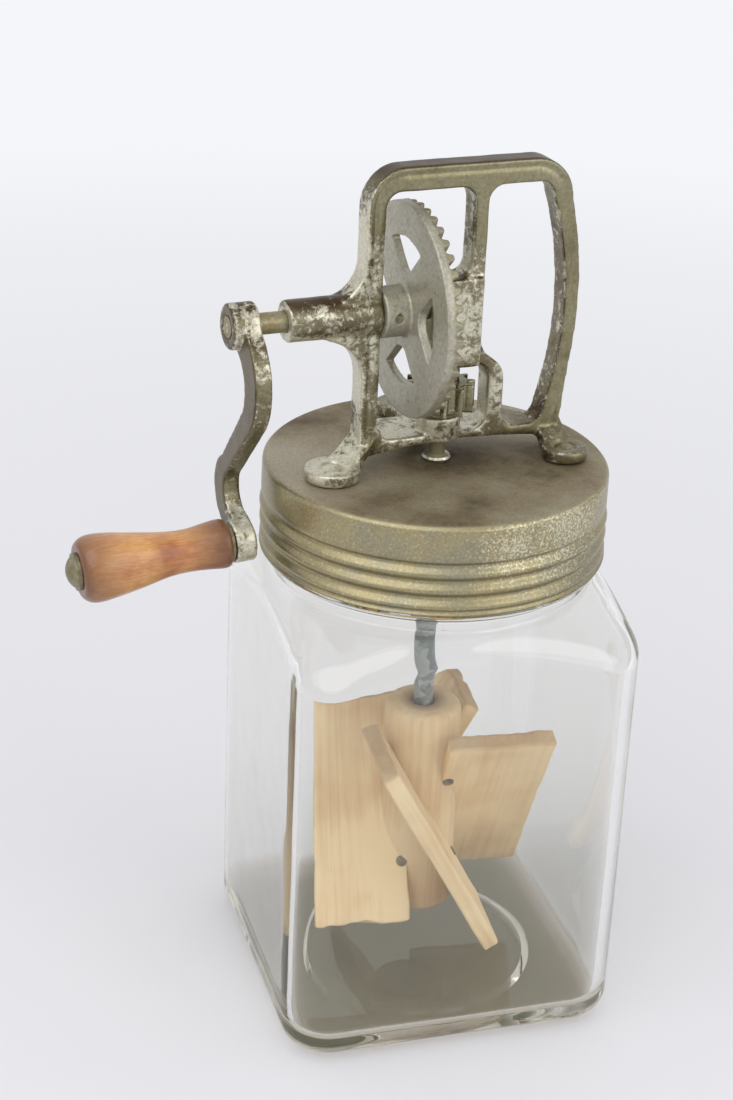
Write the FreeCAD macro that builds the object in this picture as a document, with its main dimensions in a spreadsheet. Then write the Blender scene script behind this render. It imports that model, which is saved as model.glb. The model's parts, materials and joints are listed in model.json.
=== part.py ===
"""Glass butter churn: a square jar, a screw lid with a cast frame, and a crank geared to a wooden dasher."""
import FreeCAD, Part
import math
import os
import Sketcher
from types import SimpleNamespace
from FreeCAD import Placement, Rotation, Vector

# Driving dimensions, in millimetres and degrees. Heights above the lid start with the word rise.
DIMENSIONS = [
    ("jar_width", 135.7, "across two flat sides of the jar"),
    ("jar_corner_radius", 19.0, "upright corners of the jar"),
    ("jar_height", 225.0, "resting plane to the jar's rim"),
    ("jar_turn", -6.64, "how far the jar is turned under the lid, in degrees"),
    ("glass_wall", 4.5, "glass thickness of sides and neck"),
    ("glass_floor", 8.0, "glass thickness of the floor"),
    ("heel_radius", 11.0, "rounding from the sides to the base"),
    ("base_recess_radius", 50.0, "round push-up under the base"),
    ("base_recess_depth", 3.0, "depth of that push-up"),
    ("neck_radius", 62.0, "outside of the glass neck"),
    ("neck_ring_radius", 65.3, "round bead below the lid"),
    ("neck_ring_drop", 36.6, "rim down to the middle of that bead"),
    ("shoulder_drop", 46.2, "rim down to where the shoulder starts to slope outwards"),
    ("shoulder_slope", 30.0, "slope of the shoulder, in degrees"),
    ("neck_flare", 0.8, "rise of the shoulder beside the neck, for each unit of its width"),
    ("shoulder_round", 12.0, "rounding from the shoulder to the sides"),
    ("thread_clearance", 0.4, "glass thread ridges to the lid's beads"),
    ("lid_radius", 66.0, "plain band of the lid"),
    ("lid_gauge", 0.9, "sheet steel of the lid"),
    ("lid_skirt", 35.2, "height of the lid"),
    ("lid_shoulder_radius", 3.0, "rounding of the lid's top edge"),
    ("lid_band", 14.6, "height of the plain band"),
    ("bead_pitch", 6.4, "height of one rolled bead and its groove"),
    ("bead_depth", 0.9, "how far a bead stands out, and its groove in"),
    ("rim_curl", 1.1, "how far the lower rim stands out"),
    ("eyelet_radius", 4.2, "outside of the eyelet's tube"),
    ("eyelet_flange", 1.3, "how far the eyelet's flanges stand out"),
    ("shaft_diameter", 7.94, "crank shaft, and the dasher's rod below the lid"),
    ("journal_diameter", 6.35, "dasher's rod above the lid, where it runs in its bearings"),
    ("rod_step_drop", 6.0, "lid top down to where that rod gets thicker"),
    ("running_gap", 0.05, "between a shaft and its bearing, on the radius"),
    ("side_gap", 0.15, "between faces that turn past each other"),
    ("rise_crank", 59.8, "crank axis above the lid"),
    ("rise_frame", 114.6, "top of the frame above the lid"),
    ("frame_depth", 9.8, "thickness of the frame casting"),
    ("top_bar", 8.8, "height of the frame's top bar"),
    ("frame_corner_radius", 15.0, "outer top corner beside the crank"),
    ("window_corner_radius", 6.0, "inner corners of the windows"),
    ("upright_outer", 34.1, "crank side of the upright, from the jar's axis"),
    ("upright_width", 6.9, "width of the upright"),
    ("handle_top", 47.8, "handle's outer edge, where its top corner ends"),
    ("handle_reach", 53.2, "handle's outer edge at its widest"),
    ("rise_handle_reach", 62.0, "height at which the handle is widest"),
    ("handle_knee", 51.4, "handle's outer edge, where it runs straight down to its foot"),
    ("rise_handle_knee", 34.0, "height of that place"),
    ("handle_foot", 48.4, "handle's outer edge at its foot"),
    ("handle_bar", 5.6, "width of the handle's bar at its widest reach"),
    ("handle_bar_top", 7.7, "its width below the top bar"),
    ("handle_bar_foot", 6.6, "its width at its foot"),
    ("handle_corner_radius", 16.4, "outer top corner of the handle"),
    ("post_left", 8.1, "window side of the centre post"),
    ("post_width", 5.4, "width of the centre post"),
    ("groove_inset", 1.9, "outer edge of the frame to the groove along its front"),
    ("groove_width", 1.6, "width of that groove"),
    ("groove_depth", 0.9, "depth of that groove"),
    ("block_left", 7.5, "gear side of the bearing block, from the axis"),
    ("block_right", 12.6, "handle side of the bearing block"),
    ("block_depth", 13.4, "thickness of the bearing block"),
    ("rise_block_bottom", 37.0, "underside of the bearing block"),
    ("rise_block_top", 71.4, "top of the bearing block"),
    ("leg_reach", 24.3, "outer side of the curved leg beside the pinion"),
    ("leg_width", 6.4, "width of that leg"),
    ("leg_bend_radius", 10.0, "bend from the block into that leg"),
    ("rise_table_bottom", 7.9, "underside of the frame's table"),
    ("rise_arch_foot", 4.2, "ends of the arch below the table"),
    ("rise_table_top", 10.6, "top of the frame's table"),
    ("table_back", 17.6, "back edge of the table"),
    ("table_left", 30.0, "table, from the axis towards the crank"),
    ("table_right", 42.0, "table, from the axis towards the handle"),
    ("table_bevel", 11.6, "cut-off back corners of the table"),
    ("table_boss_radius", 8.2, "bearing boss on the table"),
    ("rise_boss_top", 17.8, "top of that boss"),
    ("crank_boss_radius", 7.7, "long bearing of the crank shaft"),
    ("crank_boss_end", 63.4, "free end of that bearing, from the jar's axis"),
    ("gusset_length", 14.0, "how far the upright spreads along the bearing, and its hollow above it"),
    ("gusset_height", 25.0, "how far below the crank axis the upright starts to spread"),
    ("foot_height", 4.7, "height of the feet"),
    ("left_foot_x", -46.3, "foot beside the crank"),
    ("left_foot_y", -8.8, "foot beside the crank"),
    ("left_foot_radius", 10.4, "foot beside the crank"),
    ("right_foot_x", 46.4, "foot below the handle"),
    ("right_foot_y", -15.8, "foot below the handle"),
    ("right_foot_radius", 8.6, "foot below the handle"),
    ("back_foot_x", 4.0, "foot behind the table"),
    ("back_foot_y", 46.0, "foot behind the table"),
    ("back_foot_radius", 8.8, "foot behind the table"),
    ("foot_leg_width", 11.5, "width of the legs that run out to the feet"),
    ("foot_root_rise", 4.5, "top of the legs beside the bars, above the table"),
    ("rivet_radius", 2.4, "shank of the foot rivets"),
    ("rivet_head_radius", 4.6, "head of the foot rivets"),
    ("rivet_head_height", 1.5, "dome of the rivet heads"),
    ("rivet_tail_radius", 3.4, "closed end of the foot rivets"),
    ("rivet_recess", 1.0, "depth of the seat of a rivet head"),
    ("burr_radius", 5.6, "washer under the lid on each rivet"),
    ("burr_thickness", 1.0, "thickness of that washer"),
    ("crank_shaft_tail", 8.0, "end of the crank shaft in the bearing block"),
    ("crank_hub_radius", 8.4, "hub of the crank"),
    ("crank_hub_outer", 10.2, "free face of the hub, from its inner face"),
    ("crank_hub_inner", 75.0, "inner face of the hub, from the jar's axis"),
    ("crank_arm_thickness", 6.4, "thickness of the arm"),
    ("crank_arm_width", 11.6, "width of the arm"),
    ("crank_arm_sway", 14.3, "how far the arm swings to one side"),
    ("crank_arm_knee", 17.0, "how far it swings to the other"),
    ("crank_throw", 83.8, "crank axis down to the grip's spindle"),
    ("eye_offset", -1.0, "spindle from the plane of the crank axis"),
    ("eye_radius", 8.0, "eye at the arm's end"),
    ("eye_outer", 8.0, "outer face of the eye, from the hub's inner face"),
    ("pin_radius", 1.5, "cross pins of crank, gear and pinion"),
    ("tooth_pitch", 5.9, "gear teeth, centre to centre"),
    ("crown_teeth", 40, "teeth of the crown gear"),
    ("pinion_teeth", 12, "teeth of the pinion"),
    ("crown_face", 5.2, "width of the ring of crown teeth"),
    ("pinion_tooth_rise", 2.0, "pinion tooth outside its pitch circle"),
    ("pinion_tooth_drop", 1.0, "pinion tooth inside its pitch circle"),
    ("tooth_clearance", 0.4, "tooth tip to the root it turns past"),
    ("crown_tooth_root", 3.8, "width of a crown tooth at its root"),
    ("crown_tooth_tip", 2.6, "width of a crown tooth where its round tip starts"),
    ("crown_tooth_round", 1.0, "height of that round tip"),
    ("crown_tooth_draft", 1.5, "taper of the crown teeth, in degrees"),
    ("pinion_tooth_root", 2.5, "width of a pinion tooth at its root"),
    ("pinion_tooth_tip", 1.4, "width of a pinion tooth at its tip"),
    ("pinion_tooth_round", 0.5, "height of its round tip"),
    ("pinion_tooth_bulge", 0.15, "how far its sides bulge"),
    ("gear_thickness", 3.4, "plate of the crown gear"),
    ("gear_hub_radius", 9.5, "hub of the crown gear"),
    ("gear_rim_radius", 27.5, "inside of the crown gear's rim"),
    ("gear_spoke_half", 8.0, "half the width of a spoke"),
    ("rise_pinion", 20.0, "underside of the pinion"),
    ("pinion_face", 10.6, "height of the pinion's teeth"),
    ("pinion_collar", 5.0, "height of the collar above the teeth"),
    ("pinion_collar_radius", 7.0, "collar of the pinion"),
    ("rise_shaft_top", 50.5, "top of the dasher shaft in the block"),
    ("spindle_radius", 3.2, "spindle of the grip"),
    ("spindle_tail_radius", 4.2, "riveted end of the spindle"),
    ("spindle_tail_height", 1.0, "riveted end of the spindle"),
    ("grip_droop", 3.5, "how far the spindle sags at its free end, in degrees"),
    ("grip_length", 57.2, "wooden grip"),
    ("grip_neck_radius", 8.1, "grip at its narrow waist"),
    ("grip_collar_radius", 9.3, "grip beside the arm"),
    ("grip_belly_radius", 12.6, "grip at its thickest"),
    ("grip_end_round", 4.2, "rounding of the grip's ends"),
    ("grip_gap", 0.3, "grip to spindle, on the radius"),
    ("washer_thickness", 1.2, "washers at both ends of the grip"),
    ("washer_radius", 7.0, "washers at both ends of the grip"),
    ("spindle_head_radius", 6.3, "domed head of the spindle"),
    ("spindle_head_height", 3.2, "domed head of the spindle"),
    ("drop_hub_top", 104.5, "lid top down to the dasher's wooden hub"),
    ("dasher_hub_length", 90.0, "wooden hub"),
    ("dasher_hub_top_radius", 15.2, "wooden hub at its top"),
    ("dasher_hub_bottom_radius", 16.0, "wooden hub at its foot"),
    ("dasher_hub_round", 3.0, "rounding of the hub's top"),
    ("dasher_hub_bevel", 2.0, "bevel of its foot"),
    ("drop_blade_top", 111.0, "lid top down to the blades"),
    ("blade_length", 93.0, "length of a blade board"),
    ("blade_thickness", 6.6, "thickness of a blade board"),
    ("blade_tip_radius", 46.0, "outer edge of the blades"),
    ("right_blade_tip_radius", 49.0, "outer edge of the longest blade"),
    ("blade_root_radius", 6.2, "inner edge of the blades"),
    ("blade_pitch", 29.0, "slope of the blades from upright, in degrees"),
    ("blade_turn", 11.5, "front blade from straight ahead, in degrees"),
    ("nail_radius", 1.1, "nails of the dasher"),
    ("nail_head_radius", 2.2, "heads of those nails"),
    ("nail_length", 17.0, "nails of the dasher"),
    ("nail_out", 8.6, "nails from the dasher's axis, along the blade"),
    ("nail_rise", 22.5, "nails above and below a blade's middle"),
    ("dasher_pin_drop", 9.5, "hub top down to its cross pin"),
    ("dasher_pin_radius", 2.0, "cross pin of hub and shaft"),
]

LID_BEADS = 3

# Where each blade of the dasher points, in degrees from the hand opening's side, and how far it reaches.
BLADES = [
    ("blade_front", -90, "blade_tip_radius"),
    ("blade_right", 0, "right_blade_tip_radius"),
    ("blade_back", 90, "blade_tip_radius"),
    ("blade_left", 180, "blade_tip_radius")]

# Per radius: how far the middle of a quarter turn lies inside its corner, and the height of a sixth of a turn.
CORNER_SLACK = 1 - math.sqrt(0.5)
SIXTH_TURN = math.sqrt(0.75)

# How far one solid runs into another, or a cut past it.
OVERLAP = 1.0


class Size:
    """A number together with the spreadsheet expression that gives it."""

    def __init__(self, number, text):
        self.number = number
        self.text = text

    def __add__(self, other):
        other = as_size(other)
        return Size(self.number + other.number, f"({self.text} + {other.text})")

    def __radd__(self, other):
        return as_size(other) + self

    def __sub__(self, other):
        other = as_size(other)
        return Size(self.number - other.number, f"({self.text} - {other.text})")

    def __rsub__(self, other):
        return as_size(other) - self

    def __mul__(self, other):
        other = as_size(other)
        return Size(self.number * other.number, f"({self.text} * {other.text})")

    def __rmul__(self, other):
        return as_size(other) * self

    def __truediv__(self, other):
        other = as_size(other)
        return Size(self.number / other.number, f"({self.text} / {other.text})")

    def __rtruediv__(self, other):
        return as_size(other) / self

    def __neg__(self):
        return as_size(0) - self


def as_size(value):
    return value if isinstance(value, Size) else Size(value, f"({value})")


def root(size):
    return Size(math.sqrt(size.number), f"sqrt({size.text})")


def tangent(size):
    return Size(math.tan(math.radians(size.number)), f"tan({size.text})")


def arc_tangent(rise, run):
    angle = math.degrees(math.atan2(rise.number, run.number))
    return Size(angle, f"atan2({rise.text}; {run.text})")


def number(value):
    return as_size(value).number


def make_sheet(doc):
    """The spreadsheet with one alias per driving dimension, and the sizes read back from it."""
    sheet = doc.addObject("Spreadsheet::Sheet", "sizes")
    for row, (alias, value, meaning) in enumerate(DIMENSIONS, start=1):
        sheet.set(f"A{row}", alias)
        sheet.set(f"B{row}", str(value))
        sheet.setAlias(f"B{row}", alias)
        sheet.set(f"C{row}", meaning)
    doc.recompute()
    return SimpleNamespace(**{alias: Size(float(sheet.get(alias)), f"sizes.{alias}")
                              for alias, value, meaning in DIMENSIONS})


def bind(item, prop, value):
    """Ties a property to the sheet, or sets it where it is a plain number."""
    if isinstance(value, Size):
        item.setExpression(prop, value.text)
    else:
        setattr(item, prop, value)


def place(item, x=0, y=0, z=0, axis=None, angle=0):
    """Puts a piece at a point, turned about one axis."""
    if axis:
        item.Placement = Placement(Vector(), Rotation(Vector(*axis), number(angle)))
        bind(item, "Placement.Rotation.Angle", as_size(angle))
    for letter, value in (("x", x), ("y", y), ("z", z)):
        item.setExpression(f"Placement.Base.{letter}", as_size(value).text)


def new_body(doc, name):
    body = doc.addObject("PartDesign::Body", name)
    body.Label = name
    return body


def new_sketch(body, name, plane, lift=0, turn=0, shift=0):
    """A sketch on one of the body's own planes, lifted along its normal and turned about its upright."""
    sketch = body.newObject("Sketcher::SketchObject", name)
    support = [item for item in body.Origin.OriginFeatures if item.Role == plane][0]
    sketch.AttachmentSupport = (support, [""])
    sketch.MapMode = "FlatFace"
    upright = Vector(0, 0, 1) if plane == "XY_Plane" else Vector(0, 1, 0)
    sketch.AttachmentOffset = Placement(Vector(), Rotation(upright, number(turn)))
    if isinstance(turn, Size):
        sketch.setExpression("AttachmentOffset.Rotation.Angle", turn.text)
    sketch.setExpression("AttachmentOffset.Base.x", as_size(shift).text)
    sketch.setExpression("AttachmentOffset.Base.z", as_size(lift).text)
    return sketch


def pin_point(sketch, item, end, x, y, rules):
    rules.append((Sketcher.Constraint("DistanceX", -1, 1, item, end, number(x)), x))
    rules.append((Sketcher.Constraint("DistanceY", -1, 1, item, end, number(y)), y))


def add_rules(sketch, rules):
    """Adds constraints and ties each one that has a size to the sheet."""
    first = sketch.ConstraintCount
    sketch.addConstraint([rule for rule, value in rules])
    for index, (rule, value) in enumerate(rules, start=first):
        if isinstance(value, Size):
            sketch.setExpression(f"Constraints[{index}]", value.text)


def draw_outline(sketch, corners):
    """A closed outline of corners (x, y), or (x, y, over_x, over_y) where an arc over a point leads there."""
    rules = []
    ends = []
    for index, corner in enumerate(corners):
        start = corners[index - 1][:2]
        a = Vector(number(start[0]), number(start[1]), 0)
        b = Vector(number(corner[0]), number(corner[1]), 0)
        if len(corner) == 2:
            item = sketch.addGeometry(Part.LineSegment(a, b), False)
            ends.append((item, 1, 2))
            continue
        over = Vector(number(corner[2]), number(corner[3]), 0)
        left_turn = (over - a).cross(b - over).z > 0
        item = sketch.addGeometry(Part.Arc(a, over, b) if left_turn else Part.Arc(b, over, a), False)
        ends.append((item, 1, 2) if left_turn else (item, 2, 1))
        mark = sketch.addGeometry(Part.Point(over), True)
        pin_point(sketch, mark, 1, corner[2], corner[3], rules)
        rules.append((Sketcher.Constraint("PointOnObject", mark, 1, item), None))
    for index, (item, first, last) in enumerate(ends):
        following = ends[(index + 1) % len(ends)]
        rules.append((Sketcher.Constraint("Coincident", item, last, following[0], following[1]), None))
        pin_point(sketch, item, last, corners[index][0], corners[index][1], rules)
    add_rules(sketch, rules)


def back_along(path):
    """The same corners the other way round, each arc kept with the corner that it now leads to."""
    returned = [path[-1][:2]]
    for index in range(len(path) - 1, 0, -1):
        returned.append(path[index - 1][:2] + path[index][2:])
    return returned


def draw_circle(sketch, x, y, radius):
    circle = Part.Circle(Vector(number(x), number(y), 0), Vector(0, 0, 1), number(radius))
    item = sketch.addGeometry(circle, False)
    rules = [(Sketcher.Constraint("Radius", item, number(radius)), as_size(radius))]
    pin_point(sketch, item, 3, x, y, rules)
    add_rules(sketch, rules)


def rounded_square(sketch, half, corner):
    """A square outline about the origin with round corners."""
    inner = half - corner
    slack = inner + corner * math.sqrt(0.5)
    draw_outline(sketch, [
        (inner, -half), (half, -inner, slack, -slack),
        (half, inner), (inner, half, slack, slack),
        (-inner, half), (-half, inner, -slack, slack),
        (-half, -inner), (-inner, -half, -slack, -slack)])


def pad(body, sketch, length, both=False, back=False, taper=None):
    feature = body.newObject("PartDesign::Pad", sketch.Name + "_pad")
    feature.Profile = sketch
    bind(feature, "Length", length)
    feature.Midplane = both
    feature.Reversed = back
    if taper is not None:
        bind(feature, "TaperAngle", taper)
    return feature


def pocket(body, sketch, depth, both=False, back=False):
    feature = body.newObject("PartDesign::Pocket", sketch.Name + "_cut")
    feature.Profile = sketch
    bind(feature, "Length", depth)
    feature.Midplane = both
    feature.Reversed = back
    return feature


def turn(body, sketch, cut=False):
    """Turns a profile about the sketch's upright axis."""
    kind = "PartDesign::Groove" if cut else "PartDesign::Revolution"
    feature = body.newObject(kind, sketch.Name + "_turned")
    feature.Profile = sketch
    feature.ReferenceAxis = (sketch, ["V_Axis"])
    feature.Angle = 360
    return feature


def round_edges(body, base, chosen, radius):
    """Rounds the edges of the last feature that a test picks out."""
    edges = [f"Edge{index}" for index, edge in enumerate(base.Shape.Edges, start=1) if chosen(edge)]
    feature = body.newObject("PartDesign::Fillet", base.Name + "_round")
    feature.Base = (base, edges)
    bind(feature, "Radius", radius)
    return feature


def pattern(body, original, axis, count):
    """Repeats a feature in a full circle about one of the body's own axes."""
    feature = body.newObject("PartDesign::PolarPattern", original.Name + "_ring")
    feature.Originals = [original]
    feature.Axis = ([item for item in body.Origin.OriginFeatures if item.Role == axis][0], [""])
    feature.Angle = 360
    bind(feature, "Occurrences", count)
    body.Tip = feature
    return feature


def turned_piece(doc, name, profile):
    """A piece of revolution about its own upright axis."""
    body = new_body(doc, name)
    sketch = new_sketch(body, name + "_profile", "XZ_Plane")
    draw_outline(sketch, profile)
    turn(body, sketch)
    return body


def combine(doc, kind, name, base, tool):
    feature = doc.addObject(kind, name)
    feature.Label = name
    feature.Base = base
    feature.Tool = tool
    return feature


def group(doc, name, items):
    feature = doc.addObject("Part::Compound", name)
    feature.Label = name
    feature.Links = items
    return feature


def near(value, target):
    return abs(value - number(target)) < 0.01


def lid_levels(d):
    """Where the rolled beads of the lid start, and the radius that they swing about."""
    bead_line = d.lid_radius - d.bead_depth / 3
    starts = [-(d.lid_band + d.bead_pitch * index) for index in range(LID_BEADS)]
    return bead_line, starts


def neck_outline(d):
    """Outside of the glass neck from the rim down: thread ridges under the lid's beads, then the bead."""
    bead_line, starts = lid_levels(d)
    ridge = bead_line - d.bead_depth - d.lid_gauge - d.thread_clearance
    lid_top = d.jar_height + d.lid_gauge
    corners = [(d.neck_radius, d.jar_height + d.glass_wall)]
    for start in starts:
        middle = lid_top + start - d.bead_pitch * 0.75
        half = d.bead_pitch * 0.22
        corners.append((d.neck_radius, middle + half))
        corners.append((d.neck_radius, middle - half, ridge, middle))
    middle = d.jar_height - d.neck_ring_drop
    half = (d.neck_ring_radius - d.neck_radius) * 0.5
    corners.append((d.neck_radius, middle + half))
    corners.append((d.neck_radius, middle - half, d.neck_ring_radius, middle))
    return corners


def glass_block(doc, d, name, inset, bottom, heel, neck):
    """A round-cornered prism with a sloping shoulder turned onto its top, below a round neck."""
    half = d.jar_width / 2 - inset
    shoulder = d.jar_height - d.shoulder_drop - inset * tangent(d.shoulder_slope)
    beyond_corners = d.jar_width * 0.8
    body = new_body(doc, name)
    square = new_sketch(body, name + "_square", "XY_Plane", lift=bottom)
    rounded_square(square, half, d.jar_corner_radius - inset)
    block = pad(body, square, d.jar_height - bottom)
    cut = new_sketch(body, name + "_shoulder", "XZ_Plane")
    neck_foot = shoulder + (half - neck[0][0]) * d.neck_flare
    draw_outline(cut, neck + [
        (neck[0][0], neck_foot),
        (half, shoulder),
        (beyond_corners, shoulder - (beyond_corners - half) * tangent(d.shoulder_slope)),
        (beyond_corners, d.jar_height + d.glass_wall)])
    shaped = turn(body, cut, cut=True)
    doc.recompute()
    rounded = round_edges(
        body, shaped, lambda edge: is_shoulder_edge(edge, shoulder, half), d.shoulder_round)
    doc.recompute()
    round_edges(body, rounded, lambda edge: near(edge.BoundBox.ZMax, bottom), heel)
    return body


def is_shoulder_edge(edge, shoulder, half):
    """An edge where the sloping shoulder meets the sides of the glass, out beyond half the jar's width."""
    box = edge.BoundBox
    middle = edge.valueAt((edge.FirstParameter + edge.LastParameter) / 2)
    out = math.hypot(middle.x, middle.y) > number(half) - 0.01
    upright = box.XLength + box.YLength < 0.01
    return out and not upright and number(shoulder) / 2 < box.ZMin and box.ZMax < number(shoulder) + 0.01


def make_jar(doc, d):
    outside = glass_block(doc, d, "jar_outside", 0, 0, d.heel_radius, neck_outline(d))
    recess = new_sketch(outside, "base_recess", "XZ_Plane")
    draw_outline(recess, [
        (0, 0), (d.base_recess_radius, 0),
        (d.base_recess_radius - d.base_recess_depth, d.base_recess_depth), (0, d.base_recess_depth)])
    turn(outside, recess, cut=True)
    bore = d.neck_radius - d.glass_wall
    inside = glass_block(doc, d, "jar_inside", d.glass_wall, d.glass_floor, d.heel_radius - d.glass_wall,
                         [(bore, d.jar_height + d.glass_wall)])
    jar = combine(doc, "Part::Cut", "glass_jar", outside, inside)
    place(jar, axis=(0, 0, 1), angle=d.jar_turn)
    return jar


def lid_height(d):
    return d.jar_height + d.lid_gauge


def make_lid(doc, d):
    """Pressed sheet steel: flat top, plain band, rolled beads that take the glass thread, and curled rim."""
    bead_line, starts = lid_levels(d)
    corner = d.lid_shoulder_radius
    slack = corner * CORNER_SLACK
    outer = [(d.eyelet_radius, 0), (d.lid_radius - corner, 0),
             (d.lid_radius, -corner, d.lid_radius - slack, -slack),
             (d.lid_radius, -d.lid_band), (bead_line, -d.lid_band)]
    gauge = d.lid_gauge
    inner = [(bead_line - gauge, -d.lid_band)]
    half = d.bead_pitch / 2
    for start in starts:
        groove = bead_line - d.bead_depth
        crest = bead_line + d.bead_depth
        outer.append((bead_line, start - half, groove, start - half / 2))
        outer.append((bead_line, start - half * 2, crest, start - half * 1.5))
        inner.append((bead_line - gauge, start - half, groove - gauge, start - half / 2))
        inner.append((bead_line - gauge, start - half * 2, crest - gauge, start - half * 1.5))
    rim = [(bead_line + d.rim_curl, -d.lid_skirt), (bead_line + d.rim_curl - gauge, -d.lid_skirt)]
    top = [(d.lid_radius - gauge, -d.lid_band), (d.lid_radius - gauge, -corner),
           (d.lid_radius - corner, -gauge, d.lid_radius - slack - gauge * 0.7, -slack - gauge * 0.7),
           (d.eyelet_radius, -gauge)]
    body = turned_piece(doc, "screw_lid", outer + rim + back_along(inner) + top)
    holes = new_sketch(body, "rivet_holes", "XY_Plane")
    for x, y, radius in feet(d):
        draw_circle(holes, x, y, d.rivet_radius)
    pocket(body, holes, d.lid_skirt, both=True)
    place(body, z=lid_height(d))
    return body


def feet(d):
    """Middle and radius of each of the frame's three feet."""
    return [
        (d.left_foot_x, d.left_foot_y, d.left_foot_radius),
        (d.right_foot_x, d.right_foot_y, d.right_foot_radius),
        (d.back_foot_x, d.back_foot_y, d.back_foot_radius)]


def make_eyelet(doc, d):
    """Tubular eyelet that guides the dasher shaft through the lid, flanged above and below the sheet."""
    bore = d.journal_diameter / 2 + d.running_gap
    flange = d.eyelet_radius + d.eyelet_flange
    gauge = d.lid_gauge
    body = turned_piece(doc, "shaft_eyelet", [
        (bore, -gauge * 2), (flange, -gauge * 2), (flange, -gauge), (d.eyelet_radius, -gauge),
        (d.eyelet_radius, 0), (flange, 0), (flange - gauge / 2, gauge), (bore, gauge * 1.5)])
    place(body, z=lid_height(d))
    return body


def rail(d, inset, start):
    """A line inside the frame's outer edge: up the upright, along the top bar, down the bowed handle."""
    left = inset - d.upright_outer
    top = d.rise_frame - inset
    corner = d.frame_corner_radius - inset
    slack = corner * CORNER_SLACK
    right = d.handle_top - inset
    bend = d.handle_corner_radius - inset
    bend_slack = bend * CORNER_SLACK
    return [
        start,
        (left, top - corner),
        (left + corner, top, left + slack, top - slack),
        (right - bend, top),
        (right, top - bend, right - bend_slack, top - bend_slack),
        (d.handle_knee - inset, d.rise_handle_knee, d.handle_reach - inset, d.rise_handle_reach),
        (d.handle_foot - inset, d.rise_arch_foot)]


def frame_outline(d):
    """Outer edge of the frame, seen from the front: arched foot, upright with gussets, top bar, handle."""
    left = -d.upright_outer
    spread = left - d.gusset_length
    low = d.rise_crank - d.crank_boss_radius
    high = d.rise_crank + d.crank_boss_radius * 0.8
    slack = d.gusset_length * CORNER_SLACK
    hollow = (d.gusset_height - d.crank_boss_radius) * 0.32
    return [
        (left, d.rise_arch_foot, (d.handle_foot - d.upright_outer) / 2, d.rise_table_bottom),
        (left, d.rise_crank - d.gusset_height),
        (spread, low, left - slack, low - hollow),
        (spread, high)] + rail(d, as_size(0), (left, high + d.gusset_length, left - slack, high + slack))


def groove_outline(d):
    """The groove along the front of the upright, the top bar and the handle."""
    far = d.groove_inset + d.groove_width
    near_side = rail(d, d.groove_inset, (d.groove_inset - d.upright_outer, d.rise_arch_foot))
    return near_side + back_along(rail(d, far, (far - d.upright_outer, d.rise_arch_foot)))


def hand_opening(d):
    """The opening for the hand, between the centre post and the handle."""
    top = d.rise_frame - d.top_bar
    floor = d.rise_table_top
    post = d.post_left + d.post_width
    corner = d.window_corner_radius
    slack = corner * CORNER_SLACK
    inner_top = d.handle_top - d.handle_bar_top
    inner_foot = d.handle_foot - d.handle_bar_foot
    bend = d.leg_bend_radius
    bend_start = d.rise_block_bottom - bend * 0.75
    waist_x = d.leg_reach - bend / 2
    waist_rise = bend_start + bend * SIXTH_TURN
    swing = (waist_x - post) * 2
    return [
        (post, top - corner),
        (post + corner, top, post + slack, top - slack),
        (inner_top - corner, top),
        (inner_top, top - corner, inner_top - slack, top - slack),
        (inner_foot, floor + corner, d.handle_reach - d.handle_bar, (top + floor) / 2),
        (inner_foot - corner, floor, inner_foot - slack, floor + slack),
        (d.leg_reach + corner, floor),
        (d.leg_reach, floor + corner, d.leg_reach + slack, floor + slack),
        (d.leg_reach, bend_start),
        (waist_x, waist_rise, d.leg_reach - bend * (1 - SIXTH_TURN), bend_start + bend / 2),
        (post, waist_rise + swing * SIXTH_TURN,
         post + swing * (1 - SIXTH_TURN), waist_rise + swing * (SIXTH_TURN - 0.5))]


def gear_window(d):
    """The opening around the crown gear and, below the bearing block, around the pinion."""
    top = d.rise_frame - d.top_bar
    floor = d.rise_table_top
    left = d.upright_width - d.upright_outer
    corner = d.window_corner_radius
    slack = corner * CORNER_SLACK
    leg = d.leg_reach - d.leg_width
    block = d.rise_block_bottom
    return [
        (left, top - corner),
        (left + corner, top, left + slack, top - slack),
        (d.post_left - corner, top),
        (d.post_left, top - corner, d.post_left - slack, top - slack),
        (d.post_left, d.rise_block_top + corner),
        (d.post_left - corner, d.rise_block_top, d.post_left - slack, d.rise_block_top + slack),
        (-d.block_left, d.rise_block_top),
        (-d.block_left, block),
        (leg - corner, block),
        (leg, block - corner, leg - slack, block - slack),
        (leg, floor + corner),
        (leg - corner, floor, leg - slack, floor + slack),
        (left + corner, floor),
        (left, floor + corner, left + slack, floor + slack)]


def foot_leg(body, d, name, x, y, aim_x, aim_y, top):
    """A leg that runs from the frame down to one foot, arched clear of the lid in between."""
    run = root((aim_x - x) * (aim_x - x) + (aim_y - y) * (aim_y - y))
    turn_angle = arc_tangent(aim_y - y, aim_x - x)
    sketch = new_sketch(body, name, "XZ_Plane", lift=-y, turn=turn_angle, shift=x)
    clear = d.foot_leg_width * 0.65
    draw_outline(sketch, [
        (0, 0), (clear, 0),
        (run - OVERLAP, d.rise_table_bottom),
        (run + d.upright_width / 2, d.rise_table_bottom), (run + d.upright_width / 2, top),
        (clear * 0.4, d.foot_height, clear * 1.05, d.foot_height + (top - d.foot_height) * 0.22),
        (0, d.foot_height)])
    return pad(body, sketch, d.foot_leg_width, both=True)


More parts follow.
